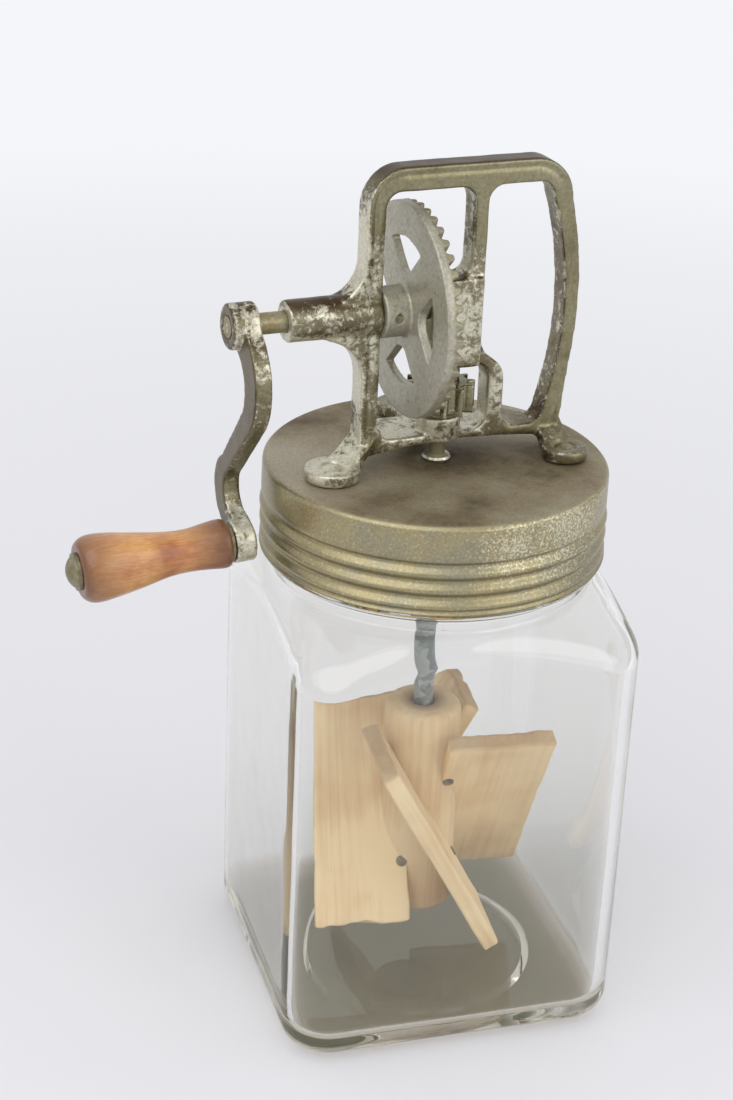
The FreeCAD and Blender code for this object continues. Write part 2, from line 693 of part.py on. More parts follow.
def make_frame(doc, d):
    """The cast frame: one plate of bars with a hand opening, bearings for both shafts, and three feet."""
    body = new_body(doc, "frame_casting")
    web = new_sketch(body, "web", "XZ_Plane")
    draw_outline(web, frame_outline(d))
    draw_outline(web, hand_opening(d))
    draw_outline(web, gear_window(d))
    pad(body, web, d.frame_depth, both=True)
    groove = new_sketch(body, "front_groove", "XZ_Plane", lift=d.frame_depth / 2)
    draw_outline(groove, groove_outline(d))
    pocket(body, groove, d.groove_depth)

    block = new_sketch(body, "block", "XZ_Plane")
    draw_outline(block, [(-d.block_left, d.rise_block_bottom), (d.block_right, d.rise_block_bottom),
                         (d.block_right, d.rise_block_top), (-d.block_left, d.rise_block_top)])
    pad(body, block, d.block_depth, both=True)

    boss = new_sketch(body, "crank_boss", "YZ_Plane", lift=-d.crank_boss_end)
    draw_circle(boss, 0, d.rise_crank, d.crank_boss_radius)
    pad(body, boss, d.crank_boss_end - d.upright_outer + d.upright_width)

    table = new_sketch(body, "table", "XY_Plane", lift=d.rise_table_bottom)
    bevel = d.table_bevel
    draw_outline(table, [
        (-d.table_left, 0), (d.table_right, 0),
        (d.table_right, d.table_back - bevel), (d.table_right - bevel, d.table_back),
        (bevel - d.table_left, d.table_back), (-d.table_left, d.table_back - bevel)])
    pad(body, table, d.rise_table_top - d.rise_table_bottom)

    table_boss = new_sketch(body, "table_boss", "XY_Plane", lift=d.rise_table_bottom)
    draw_circle(table_boss, 0, 0, d.table_boss_radius)
    pad(body, table_boss, d.rise_boss_top - d.rise_table_bottom)

    upright = d.upright_width / 2 - d.upright_outer
    handle = d.handle_foot - d.handle_bar_foot / 2
    root_top = d.rise_table_top + d.foot_root_rise
    foot_leg(body, d, "left_leg", d.left_foot_x, d.left_foot_y, upright, as_size(0), root_top)
    foot_leg(body, d, "right_leg", d.right_foot_x, d.right_foot_y, handle, as_size(0), root_top)
    foot_leg(body, d, "back_leg", d.back_foot_x, d.back_foot_y, as_size(0), d.table_back - 3 * OVERLAP,
             d.rise_table_top)

    pads = new_sketch(body, "foot_pads", "XY_Plane")
    for x, y, radius in feet(d):
        draw_circle(pads, x, y, radius)
    pad(body, pads, d.foot_height)

    bore = d.shaft_diameter / 2 + d.running_gap
    crank_bore = new_sketch(body, "crank_bore", "YZ_Plane", lift=-d.crank_boss_end - OVERLAP)
    draw_circle(crank_bore, 0, d.rise_crank, bore)
    pocket(body, crank_bore, d.crank_boss_end + OVERLAP + d.crank_shaft_tail + d.side_gap, back=True)
    dasher_bore = new_sketch(body, "dasher_bore", "XY_Plane")
    draw_circle(dasher_bore, 0, 0, d.journal_diameter / 2 + d.running_gap)
    pocket(body, dasher_bore, d.rise_shaft_top + d.side_gap, back=True)
    seats = new_sketch(body, "rivet_seats", "XY_Plane", lift=d.foot_height - d.rivet_recess)
    holes = new_sketch(body, "rivet_bores", "XY_Plane")
    for x, y, radius in feet(d):
        draw_circle(seats, x, y, d.rivet_head_radius)
        draw_circle(holes, x, y, d.rivet_radius)
    pocket(body, seats, d.rise_table_top, back=True)
    pocket(body, holes, d.rise_table_top, back=True)
    place(body, z=lid_height(d))
    return body


def dome(radius, height, base):
    """Corners of a round head from its rim up to a small flat at its middle."""
    ball = (radius * radius + height * height) / (2 * height)
    half = radius * 0.6
    flat = radius * 0.1
    return [(flat, base + height - ball + root(ball * ball - flat * flat),
             half, base + height - ball + root(ball * ball - half * half)),
            (0, base + height - ball + root(ball * ball - flat * flat))]


def make_rivets(doc, d):
    """Three rivets through the feet and the lid, and the washer that each is closed over."""
    rivets = []
    washers = []
    seat = d.foot_height - d.rivet_recess
    under = -d.lid_gauge
    closed = under - d.burr_thickness
    tail = closed - d.burr_thickness
    for index, (x, y, radius) in enumerate(feet(d), start=1):
        rivet = turned_piece(doc, f"rivet_{index}", [
            (0, tail), (d.rivet_tail_radius, tail),
            (d.rivet_tail_radius, closed), (d.rivet_radius, closed), (d.rivet_radius, seat),
            (d.rivet_head_radius, seat)] + dome(d.rivet_head_radius, d.rivet_head_height, seat))
        washer = turned_piece(doc, f"washer_{index}", [
            (d.rivet_radius, closed), (d.burr_radius, closed),
            (d.burr_radius, under), (d.rivet_radius, under)])
        for piece in (rivet, washer):
            place(piece, x, y, lid_height(d))
        rivets.append(rivet)
        washers.append(washer)
    return [group(doc, "foot_rivets", rivets), group(doc, "rivet_washers", washers)]


def rod(doc, name, radius, length):
    piece = doc.addObject("Part::Cylinder", name)
    piece.Label = name
    bind(piece, "Radius", radius)
    bind(piece, "Height", length)
    return piece


def make_crank(doc, d):
    """Shaft, arm and cross pin of the crank, and the spindle that its wooden grip turns on."""
    axis_height = lid_height(d) + d.rise_crank
    free_face = d.crank_hub_inner + d.crank_hub_outer
    shaft = rod(doc, "crank_bar", d.shaft_diameter / 2, free_face + d.crank_shaft_tail)
    place(shaft, -free_face, 0, axis_height, (0, 1, 0), 90)
    crank_pin = rod(doc, "crank_pin", d.pin_radius, d.crank_hub_radius * 2)
    pin_x = d.crank_hub_inner + d.crank_hub_outer / 2
    place(crank_pin, -pin_x, d.crank_hub_radius, axis_height, (1, 0, 0), 90)
    gear_pin = rod(doc, "gear_pin", d.pin_radius, d.gear_hub_radius * 2)
    hub_middle = (d.upright_outer - d.upright_width + gear_back(d)) / 2
    place(gear_pin, -hub_middle, d.gear_hub_radius, axis_height, (1, 0, 0), 90)
    pins = group(doc, "shaft_pins", [crank_pin, gear_pin])
    crank_shaft = combine(doc, "Part::Cut", "crank_shaft", shaft, pins)

    spindle, inner_washer, outer_washer, grip = make_grip(doc, d)
    blank = make_arm_blank(doc, d)
    half = d.eye_outer / 2
    eye = turned_piece(doc, "arm_eye", [(0, -half), (d.eye_radius, -half), (d.eye_radius, half), (0, half)])
    place_on_spindle(eye, d)
    solid = doc.addObject("Part::MultiFuse", "arm_with_eye")
    solid.Shapes = [blank, eye]
    arm = combine(doc, "Part::Cut", "crank_arm", solid, group(doc, "arm_bores", [shaft, crank_pin, spindle]))
    return [crank_shaft, arm, crank_pin, gear_pin, spindle, inner_washer, outer_washer, grip]


def place_on_spindle(piece, d):
    """Puts a turned piece on the grip's axis, which starts in the middle of the arm's eye."""
    middle = d.crank_hub_inner + d.eye_outer / 2
    height = lid_height(d) + d.rise_crank - d.crank_throw
    place(piece, -middle, d.eye_offset, height, (0, 1, 0), -(d.grip_droop + 90))


def make_arm_blank(doc, d):
    """The crank's hub and its flat arm, which swings out to both sides on its way down."""
    body = new_body(doc, "arm_blank")
    outline = new_sketch(body, "arm_outline", "YZ_Plane", lift=-d.crank_hub_inner)
    half = d.crank_arm_width / 2
    hip_out = -(d.crank_arm_sway + half)
    hip_in = half - d.crank_arm_sway
    knee_out = d.crank_arm_knee + half
    knee_in = d.crank_arm_knee - half
    hub = d.crank_hub_radius

    def down(share):
        return -(d.crank_throw * share)

    draw_outline(outline, [
        (hub * 0.2, down(0.105)),
        (hip_in + 2, down(0.36), hip_in + 0.9, down(0.22)),
        (knee_out - 8.5, down(0.655)),
        (knee_out - 5, down(0.94), knee_out - 0.5, down(0.815)),
        (d.eye_offset + d.eye_radius * 0.6, down(1) - d.eye_radius * 0.78),
        (d.eye_offset, down(1)),
        (d.eye_offset, down(1) + d.eye_radius * 0.98),
        (knee_in - 4.6, down(0.89)),
        (knee_in - 2, down(0.72), knee_in + 0.5, down(0.815)),
        (hip_out + 7.6, down(0.45)),
        (-hub * 1.15, -hub * 0.1, hip_out - 0.4, down(0.25)),
        (-hub * 0.8, hub * 0.56),
        (0, 0)])
    pad(body, outline, d.crank_arm_thickness, back=True)
    hub_sketch = new_sketch(body, "arm_hub", "YZ_Plane", lift=-d.crank_hub_inner)
    draw_circle(hub_sketch, 0, 0, hub)
    pad(body, hub_sketch, d.crank_hub_outer, back=True)
    place(body, z=lid_height(d) + d.rise_crank)
    return body


def make_grip(doc, d):
    """Riveted spindle, two washers and the turned wooden grip that spins between them."""
    start = d.eye_outer / 2
    thick = d.washer_thickness
    tail = -start - d.spindle_tail_height
    grip_start = start + thick + d.side_gap
    grip_end = grip_start + d.grip_length
    head = grip_end + d.side_gap + thick
    spindle = turned_piece(doc, "grip_spindle", [
        (0, tail), (d.spindle_radius, tail),
        (d.spindle_tail_radius, tail + d.spindle_tail_height / 2), (d.spindle_tail_radius, -start),
        (d.spindle_radius, -start), (d.spindle_radius, head), (d.spindle_head_radius, head)]
        + dome(d.spindle_head_radius, d.spindle_head_height, head))
    washers = []
    for name, low in (("grip_washer_inner", start), ("grip_washer_outer", grip_end + d.side_gap)):
        washers.append(turned_piece(doc, name, [
            (d.spindle_radius, low), (d.washer_radius, low),
            (d.washer_radius, low + thick), (d.spindle_radius, low + thick)]))
    bore = d.spindle_radius + d.grip_gap
    length = d.grip_length
    curl = d.grip_end_round
    belly = d.grip_belly_radius
    neck = d.grip_neck_radius
    collar = d.grip_collar_radius
    grip = turned_piece(doc, "wooden_grip", [
        (bore, grip_start), (collar - 1.4, grip_start),
        (collar, grip_start + 1.4, collar - 0.4, grip_start + 0.4),
        (neck + 0.2, grip_start + length * 0.2, collar - 0.2, grip_start + length * 0.11),
        (neck + 0.8, grip_start + length * 0.42, neck, grip_start + length * 0.3),
        (belly - 0.3, grip_end - curl * 2, neck + 2.9, grip_start + length * 0.62),
        (belly - 0.3, grip_end - curl, belly, grip_end - curl * 1.5),
        (belly - curl, grip_end, belly - curl * 0.3, grip_end - curl * 0.3),
        (bore, grip_end)])
    for piece in [spindle, grip] + washers:
        place_on_spindle(piece, d)
    return spindle, washers[0], washers[1], grip


def pinion_pitch_radius(d):
    return d.tooth_pitch * d.pinion_teeth / (2 * math.pi)


def crown_pitch_radius(d):
    return d.tooth_pitch * d.crown_teeth / (2 * math.pi)


def gear_front(d):
    """Face of the crown gear's plate, from the dasher's axis: clear of the pinion's teeth."""
    return pinion_pitch_radius(d) + d.pinion_tooth_rise + d.tooth_clearance


def gear_back(d):
    return gear_front(d) + d.gear_thickness


def make_gear_blank(doc, d):
    """Crown gear: a plate with four petal openings, a hub, and teeth that stand on its face at the rim."""
    body = new_body(doc, "gear_blank")
    radius = crown_pitch_radius(d) + d.crown_face / 2
    plate = new_sketch(body, "gear_plate", "YZ_Plane", lift=-gear_back(d))
    draw_circle(plate, 0, 0, radius)
    pad(body, plate, d.gear_thickness)
    hub_end = d.upright_outer - d.upright_width - d.side_gap
    hub = new_sketch(body, "gear_hub", "YZ_Plane", lift=-hub_end)
    draw_circle(hub, 0, 0, d.gear_hub_radius)
    pad(body, hub, hub_end - gear_front(d))

    petal = new_sketch(body, "gear_petal", "YZ_Plane", lift=-gear_back(d) - OVERLAP)
    apex = d.gear_spoke_half * math.sqrt(2)
    rim = d.gear_rim_radius
    side = (root(2 * rim * rim - apex * apex) - apex) / 2
    tip = apex * 0.43
    draw_outline(petal, [
        (apex + side, -side), (apex + side, side, rim, 0),
        (apex + tip, tip), (apex + tip, -tip, apex + tip * 0.57, 0)])
    opening = pocket(body, petal, d.gear_thickness + 2 * OVERLAP, back=True)
    doc.recompute()
    pattern(body, opening, "X_Axis", 4)

    tooth = new_sketch(body, "crown_tooth", "XY_Plane", lift=d.crown_face / 2 - crown_pitch_radius(d))
    tip_x = -(pinion_pitch_radius(d) - d.pinion_tooth_drop + d.tooth_clearance)
    root_x = -(gear_front(d) + OVERLAP / 2)
    draw_outline(tooth, [
        (root_x, -d.crown_tooth_root / 2), (tip_x - d.crown_tooth_round, -d.crown_tooth_tip / 2),
        (tip_x - d.crown_tooth_round, d.crown_tooth_tip / 2, tip_x, 0),
        (root_x, d.crown_tooth_root / 2)])
    lump = pad(body, tooth, d.crown_face, back=True, taper=d.crown_tooth_draft)
    doc.recompute()
    pattern(body, lump, "X_Axis", d.crown_teeth)
    place(body, z=lid_height(d) + d.rise_crank)
    return body


def make_crown_gear(doc, d):
    """The gear's blank, bored for the crank shaft and for its pin."""
    bores = group(doc, "gear_bores", [doc.getObject("gear_pin"), doc.getObject("crank_bar")])
    return combine(doc, "Part::Cut", "crown_gear", make_gear_blank(doc, d), bores)


def make_pinion(doc, d):
    """Pinion with straight teeth and a collar above them that is pinned to the dasher shaft."""
    body = new_body(doc, "pinion_blank")
    radius = pinion_pitch_radius(d)
    inside = radius - d.pinion_tooth_drop
    core = new_sketch(body, "pinion_core", "XY_Plane", lift=d.rise_pinion)
    draw_circle(core, 0, 0, inside)
    pad(body, core, d.pinion_face)
    tooth = new_sketch(body, "pinion_tooth", "XY_Plane", lift=d.rise_pinion, turn=180 + 180 / d.pinion_teeth)
    outside = radius + d.pinion_tooth_rise
    shoulder = outside - d.pinion_tooth_round
    wide = d.pinion_tooth_root / 2
    slim = d.pinion_tooth_tip / 2
    flank = (wide + slim) / 2 + d.pinion_tooth_bulge
    draw_outline(tooth, [
        (inside - OVERLAP, -wide), (inside, -wide), (shoulder, -slim, (inside + shoulder) / 2, -flank),
        (shoulder, slim, outside, 0),
        (inside, wide, (inside + shoulder) / 2, flank), (inside - OVERLAP, wide)])
    lump = pad(body, tooth, d.pinion_face)
    doc.recompute()
    pattern(body, lump, "Z_Axis", d.pinion_teeth)
    collar = new_sketch(body, "pinion_collar_circle", "XY_Plane", lift=d.rise_pinion + d.pinion_face)
    draw_circle(collar, 0, 0, d.pinion_collar_radius)
    body.Tip = pad(body, collar, d.pinion_collar)
    place(body, z=lid_height(d))
    return body


def make_dasher(doc, d):
    """Dasher shaft, pinion, wooden hub and four pitched blades, with their pins and nails."""
    lid = lid_height(d)
    bottom = d.drop_hub_top + d.dasher_hub_length - d.dasher_pin_radius
    thick = d.shaft_diameter / 2
    thin = d.journal_diameter / 2
    bar = turned_piece(doc, "dasher_bar", [
        (0, -bottom), (thick, -bottom), (thick, -d.rod_step_drop), (thin, -d.rod_step_drop),
        (thin, d.rise_shaft_top), (0, d.rise_shaft_top)])
    place(bar, z=lid)
    pinion_pin = rod(doc, "pinion_pin", d.pin_radius, d.pinion_collar_radius * 2)
    place(pinion_pin, 0, d.pinion_collar_radius, lid + d.rise_pinion + d.pinion_face + d.pinion_collar / 2,
          (1, 0, 0), 90)
    bores = group(doc, "pinion_bores", [bar, pinion_pin])
    pinion = combine(doc, "Part::Cut", "pinion_gear", make_pinion(doc, d), bores)
    dasher_pin = rod(doc, "dasher_pin", d.dasher_pin_radius, d.dasher_hub_top_radius * 2)
    place(dasher_pin, -d.dasher_hub_top_radius, 0, lid - d.drop_hub_top - d.dasher_pin_drop, (0, 1, 0), 90)
    shaft = combine(doc, "Part::Cut", "dasher_shaft", bar, group(doc, "bar_pins", [pinion_pin, dasher_pin]))

    nails = make_nails(doc, d)
    boards = []
    blades = []
    for name, angle, reach in BLADES:
        board = doc.addObject("Part::Box", name + "_board")
        bind(board, "Length", getattr(d, reach) - d.blade_root_radius)
        bind(board, "Width", d.blade_thickness)
        bind(board, "Height", d.blade_length)
        board.Placement = blade_frame(d, angle) * Placement(
            Vector(number(d.blade_root_radius), -number(d.blade_thickness) / 2, -number(d.blade_length) / 2),
            Rotation())
        boards.append(board)
        blades.append(combine(doc, "Part::Cut", name, board, nails))

    top = d.dasher_hub_top_radius
    low = d.dasher_hub_bottom_radius
    curl = d.dasher_hub_round
    slack = curl * CORNER_SLACK
    bevel = d.dasher_hub_bevel
    blank = turned_piece(doc, "hub_blank", [
        (0, 0), (top - curl, 0), (top, -curl, top - slack, -slack),
        (low, bevel - d.dasher_hub_length), (low - bevel, -d.dasher_hub_length), (0, -d.dasher_hub_length)])
    place(blank, z=lid - d.drop_hub_top)
    hub = combine(doc, "Part::Cut", "dasher_hub", blank,
                  group(doc, "hub_cuts", boards + [nails, bar, dasher_pin]))
    return [shaft, pinion, pinion_pin, hub, dasher_pin, nails] + blades


def blade_frame(d, angle):
    """The middle of a blade on the dasher's axis: x outwards, y through its thickness, z along its slope."""
    slope = math.radians(number(d.blade_pitch))
    depth = number(d.blade_length) * math.cos(slope) + number(d.blade_thickness) * math.sin(slope)
    height = number(lid_height(d) - d.drop_blade_top) - depth / 2
    around = Placement(Vector(0, 0, height), Rotation(Vector(0, 0, 1), angle - number(d.blade_turn)))
    return around * Placement(Vector(), Rotation(Vector(1, 0, 0), number(d.blade_pitch)))


def make_nails(doc, d):
    """Two nails hold each blade in its groove of the hub, one from each side."""
    nails = []
    for name, angle, reach in BLADES:
        for side in (-1, 1):
            shank = doc.addObject("Part::Cylinder", f"{name}_shank_{side + 2}")
            bind(shank, "Radius", d.nail_radius)
            bind(shank, "Height", d.nail_length)
            head = doc.addObject("Part::Cylinder", f"{name}_head_{side + 2}")
            bind(head, "Radius", d.nail_head_radius)
            bind(head, "Height", d.nail_radius)
            out = side * number(d.blade_thickness) / 2
            start = Vector(number(d.nail_out), out, -side * number(d.nail_rise))
            inward = Rotation(Vector(1, 0, 0), 90 * side)
            shank.Placement = blade_frame(d, angle) * Placement(start, inward)
            head.Placement = blade_frame(d, angle) * Placement(
                start + Vector(0, side * number(d.nail_radius) * 0.5, 0), inward)
            nail = doc.addObject("Part::MultiFuse", f"{name}_nail_{side + 2}")
            nail.Shapes = [shank, head]
            nails.append(nail)
    return group(doc, "dasher_nails", nails)


def make_thrust_washer(doc, d):
    """Washer on the table's boss that carries the pinion."""
    bore = d.journal_diameter / 2 + d.running_gap
    body = turned_piece(doc, "thrust_washer", [
        (bore, d.rise_boss_top), (d.pinion_collar_radius, d.rise_boss_top),
        (d.pinion_collar_radius, d.rise_pinion - d.side_gap), (bore, d.rise_pinion - d.side_gap)])
    place(body, z=lid_height(d))
    return body


def check(doc, pieces):
    """Stops the build if any object failed, or any piece isn't a sound solid."""
    for item in doc.Objects:
        if "Invalid" in item.State or "Error" in item.State:
            raise RuntimeError(f"{item.Name} failed: {item.State}")
    for piece in pieces:
        shape = piece.Shape
        if shape.isNull() or not shape.isValid() or not shape.Solids:
            raise RuntimeError(f"{piece.Label} is not a sound solid")


def main():
    os.makedirs("parts", exist_ok=True)
    doc = FreeCAD.newDocument("butter_churn")
    d = make_sheet(doc)
    pieces = [make_jar(doc, d), make_lid(doc, d), make_eyelet(doc, d), make_frame(doc, d)]
    pieces += make_rivets(doc, d)
    pieces += make_crank(doc, d)
    pieces += [make_crown_gear(doc, d), make_thrust_washer(doc, d)]
    pieces += make_dasher(doc, d)
    doc.recompute()
    check(doc, pieces)
    for piece in pieces:
        piece.Shape.exportStep(f"parts/{piece.Label}.step")
        print(f"{piece.Label}: {len(piece.Shape.Solids)} solids, {piece.Shape.Volume:.0f} mm3")


main()
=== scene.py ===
import json
import math

import bmesh
import bpy
from mathutils import Matrix, Vector, noise


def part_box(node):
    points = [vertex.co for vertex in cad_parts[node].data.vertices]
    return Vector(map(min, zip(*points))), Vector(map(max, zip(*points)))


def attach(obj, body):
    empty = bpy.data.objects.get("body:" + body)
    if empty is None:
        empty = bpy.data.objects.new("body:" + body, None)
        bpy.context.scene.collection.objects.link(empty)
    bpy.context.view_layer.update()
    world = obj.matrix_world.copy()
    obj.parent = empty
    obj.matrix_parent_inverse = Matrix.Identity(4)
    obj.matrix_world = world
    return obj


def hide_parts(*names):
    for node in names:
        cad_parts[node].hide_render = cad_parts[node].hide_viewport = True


bl_info = {
    "name": "Glass butter churn",
    "version": (1, 0, 0),
    "blender": (4, 5, 0),
    "location": "View3D > Sidebar > Churn",
    "description": "Pieces, finishes and stage of a hand cranked glass butter churn",
    "category": "Object",
}

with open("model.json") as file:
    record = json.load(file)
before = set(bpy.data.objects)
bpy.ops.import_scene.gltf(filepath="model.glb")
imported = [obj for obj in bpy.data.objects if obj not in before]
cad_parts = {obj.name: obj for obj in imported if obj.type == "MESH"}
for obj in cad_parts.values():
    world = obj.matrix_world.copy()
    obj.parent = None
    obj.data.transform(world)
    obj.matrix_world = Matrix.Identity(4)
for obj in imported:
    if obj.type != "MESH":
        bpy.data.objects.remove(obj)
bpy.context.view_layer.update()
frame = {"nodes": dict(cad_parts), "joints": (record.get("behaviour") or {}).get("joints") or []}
NODES = frame["nodes"]
JOINTS = {joint["name"]: joint for joint in frame["joints"]}
JAR_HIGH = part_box("glass_jar")[1]
LID_LOW, LID_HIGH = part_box("screw_lid")
MM = 0.001


def linear(code):
    """An sRGB hex colour as linear red, green, blue and alpha."""
    channels = [int(code[start:start + 2], 16) / 255 for start in (1, 3, 5)]
    return [c / 12.92 if c <= 0.04045 else ((c + 0.055) / 1.055) ** 2.4 for c in channels] + [1.0]


def length(name, description, metres):
    return bpy.props.FloatProperty(
        name=name, description=description, default=metres, unit="LENGTH", precision=4)


def angle(name, description, degrees):
    return bpy.props.FloatProperty(
        name=name, description=description, default=math.radians(degrees), unit="ROTATION")


def colour(name, description, code):
    return bpy.props.FloatVectorProperty(
        name=name, description=description, default=linear(code), size=4, min=0, max=1, subtype="COLOR")


class JarSettings(bpy.types.PropertyGroup):
    width: length("Width", "Across two flat sides", 0.1357)
    corner: length("Corner", "Radius of the upright corners", 0.019)
    wall: length("Wall", "Thickness of sides and neck", 0.0045)
    floor: length("Floor", "Thickness of the floor", 0.008)
    heel: length("Heel", "Rounding from the sides to the base", 0.011)
    push_up: length("Push-up", "Radius of the round recess under the base", 0.050)
    push_up_depth: length("Push-up depth", "Depth of that recess", 0.003)
    neck: length("Neck", "Outer radius of the neck", 0.062)
    bead: length("Neck bead", "Outer radius of the bead below the lid", 0.0653)
    bead_drop: length("Bead drop", "Rim down to the middle of that bead", 0.0366)
    shoulder_drop: length("Shoulder drop", "Rim down to where the shoulder meets the flat sides", 0.0462)
    slope: angle("Slope", "Fall of the shoulder", 30)
    turn: angle("Turn", "How far the jar is turned under the lid", -6.64)
    tint: colour("Tint", "Soda-lime glass seen through", "#fdfdfb")
    # The edge tint is painted shade along the corners, partly the glass's own cast
    edge_tint_and_shade: colour("Edge tint", "Soda-lime glass seen along its corners", "#dcdcd3")
    # The floor tint is partly the glass's own cast and partly painted shade under the jar
    floor_tint_and_shade: colour("Floor tint", "The thick floor seen through", "#d3cbbe")


class LidSettings(bpy.types.PropertyGroup):
    radius: length("Radius", "Radius of the plain band", 0.066)
    gauge: length("Gauge", "Thickness of the sheet", 0.0009)
    edge: length("Edge", "Rounding of the top edge", 0.003)
    band: length("Band", "Height of the plain band", 0.0146)
    bead_pitch: length("Bead pitch", "Height of one rolled bead with its groove", 0.0064)
    bead_depth: length("Bead depth", "How far a bead stands out, and its groove in", 0.0009)
    curl: length("Curl", "How far the lower rim stands out", 0.0011)
    hole: length("Hole", "Radius of the hole for the eyelet", 0.0042)
    brass: colour("Brassy skirt", "Lacquered tinplate of the skirt", "#a69b77")
    dull: colour("Dull skirt", "Where the lacquer has gone grey", "#9a947c")
    bright: colour("Bright skirt", "Where the lacquer is thin", "#d0cab0")
    top: colour("Top", "Browned sheet of the top", "#877a60")
    stain: colour("Stain", "Darker stains of the top", "#5b4e38")
    # The rubbed top colour also serves as a painted sheen on the left of the top
    rub_and_sheen: colour("Rubbed top", "Where hands have rubbed the top paler", "#aaa08c")


class CastingSettings(bpy.types.PropertyGroup):
    grain: length("Grain", "Cell of the remeshed castings", 0.00066)
    fine_grain: length("Fine grain", "Cell of the remeshed gears and crank", 0.00055)
    bronze: colour("Bronze brown", "Darkest tone of the aged nickel", "#463523")
    olive: colour("Olive", "Middle tone of the aged nickel", "#8b8467")
    sage: colour("Sage", "Palest tone of the aged nickel", "#9d9980")
    nickel: colour("Nickel", "Flakes of sound nickel", "#dad6c2")
    iron: colour("Iron", "Bare grey iron of the crown gear", "#b0ac9c")
    iron_dark: colour("Dark iron", "Dark pores and oiled teeth", "#5e5440")
    rust: colour("Rust", "Rust at the hubs", "#7d5230")
    brassy: colour("Brassy steel", "Old oil dried on the turned bar", "#8d7d58")
    zinc: colour("Zinc", "Darker crystals of the rod's zinc", "#868e8f")
    spangle: colour("Spangle", "Paler crystals of the rod's zinc", "#b4b9b8")


class WoodSettings(bpy.types.PropertyGroup):
    grip_light: colour("Grip light", "Varnished wood where it is worn pale", "#d89f62")
    grip_red: colour("Grip red", "Varnished wood, body colour", "#a65f36")
    grip_dark: colour("Grip dark", "Varnished wood at its ends", "#54291a")
    bare_light: colour("Bare light", "Pale wood of the dasher", "#f4dcb2")
    bare_tan: colour("Bare tan", "Darker grain of the dasher", "#dfbb8c")
    bare_stain: colour("Bare stain", "Stain round the nails and end grain", "#8f6d4c")


class DasherSettings(bpy.types.PropertyGroup):
    hub_top: length("Hub top", "Radius of the hub at its top", 0.0152)
    hub_foot: length("Hub foot", "Radius of the hub at its foot", 0.016)
    tip: length("Tip", "Outer edge of the boards, from the axis", 0.046)
    long_tip: length("Long tip", "Outer edge of the longest board, from the axis", 0.049)
    bore: length("Bore", "Radius of the hub's bore, round the rod", 0.0041)
    root: length("Root", "Inner edge of the boards, from the axis", 0.0062)
    thickness: length("Thickness", "Thickness of a board", 0.0066)
    board: length("Board", "Length of a board along its slope", 0.093)
    pitch: angle("Pitch", "Slope of the boards from upright", 29)
    turn: angle("Turn", "Front board from straight ahead", 11.5)


class StageSettings(bpy.types.PropertyGroup):
    floor: colour("Floor", "Plain pale floor", "#e2e2e6")
    backdrop: colour("Backdrop", "The floor far behind, as the camera sees it", "#f5f6fa")
    eye: bpy.props.FloatVectorProperty(
        name="Eye", description="Place of the camera", default=(-0.3466, -0.7219, LID_HIGH.z + 0.330),
        unit="LENGTH")
    azimuth: angle("Azimuth", "Heading of the view, from +Y towards +X", 23.87)
    tilt: angle("Tilt", "How far the view looks down", 24.87)
    roll: angle("Roll", "How far the picture is rolled", 2.59)
    focal: bpy.props.FloatProperty(
        name="Focal", description="Focal length in millimetres over a 36 mm long side", default=74.38)


def settings(group):
    return getattr(bpy.context.scene, "churn_" + group)


def feed(tree, node, feeds):
    """Gives inputs of a node a value, or the output that feeds them."""
    for socket, value in feeds.items():
        if isinstance(value, bpy.types.NodeSocket):
            tree.links.new(value, node.inputs[socket])
        else:
            node.inputs[socket].default_value = value


def add(tree, kind, feeds=None, stops=(), **options):
    """Adds a shader node with its options, its inputs and, on a colour ramp, its stops."""
    node = tree.nodes.new("ShaderNode" + kind)
    for name, value in options.items():
        setattr(node, name, value)
    feed(tree, node, feeds or {})
    if stops:
        elements = node.color_ramp.elements
        elements.remove(elements[1])
        elements[0].position, elements[0].color = stops[0]
        for place, tone in stops[1:]:
            elements.new(place).color = tone
    return node


def new_material(name):
    """A material with its tree, its shader and its Object coordinates."""
    material = bpy.data.materials.new(name)
    material.use_nodes = True
    tree = material.node_tree
    place = add(tree, "TexCoord").outputs["Object"]
    return material, tree, tree.nodes["Principled BSDF"], place


def per(millimetres):
    """Scale of a pattern on Object coordinates that repeats after this many millimetres."""
    return 1 / (millimetres * MM)


def nearness(tree, place, spots):
    """An output that is 1 at the middle of any of the spots and falls to 0 at their radius."""
    most = 0.0
    for centre, radius in spots:
        gap = add(tree, "VectorMath", {0: place, 1: centre}, operation="DISTANCE").outputs["Value"]
        share = add(tree, "MapRange", {
            "Value": gap, "From Max": radius, "To Min": 1.0, "To Max": 0.0}).outputs[0]
        most = add(tree, "Math", {0: most, 1: share}, operation="MAXIMUM").outputs[0]
    return most


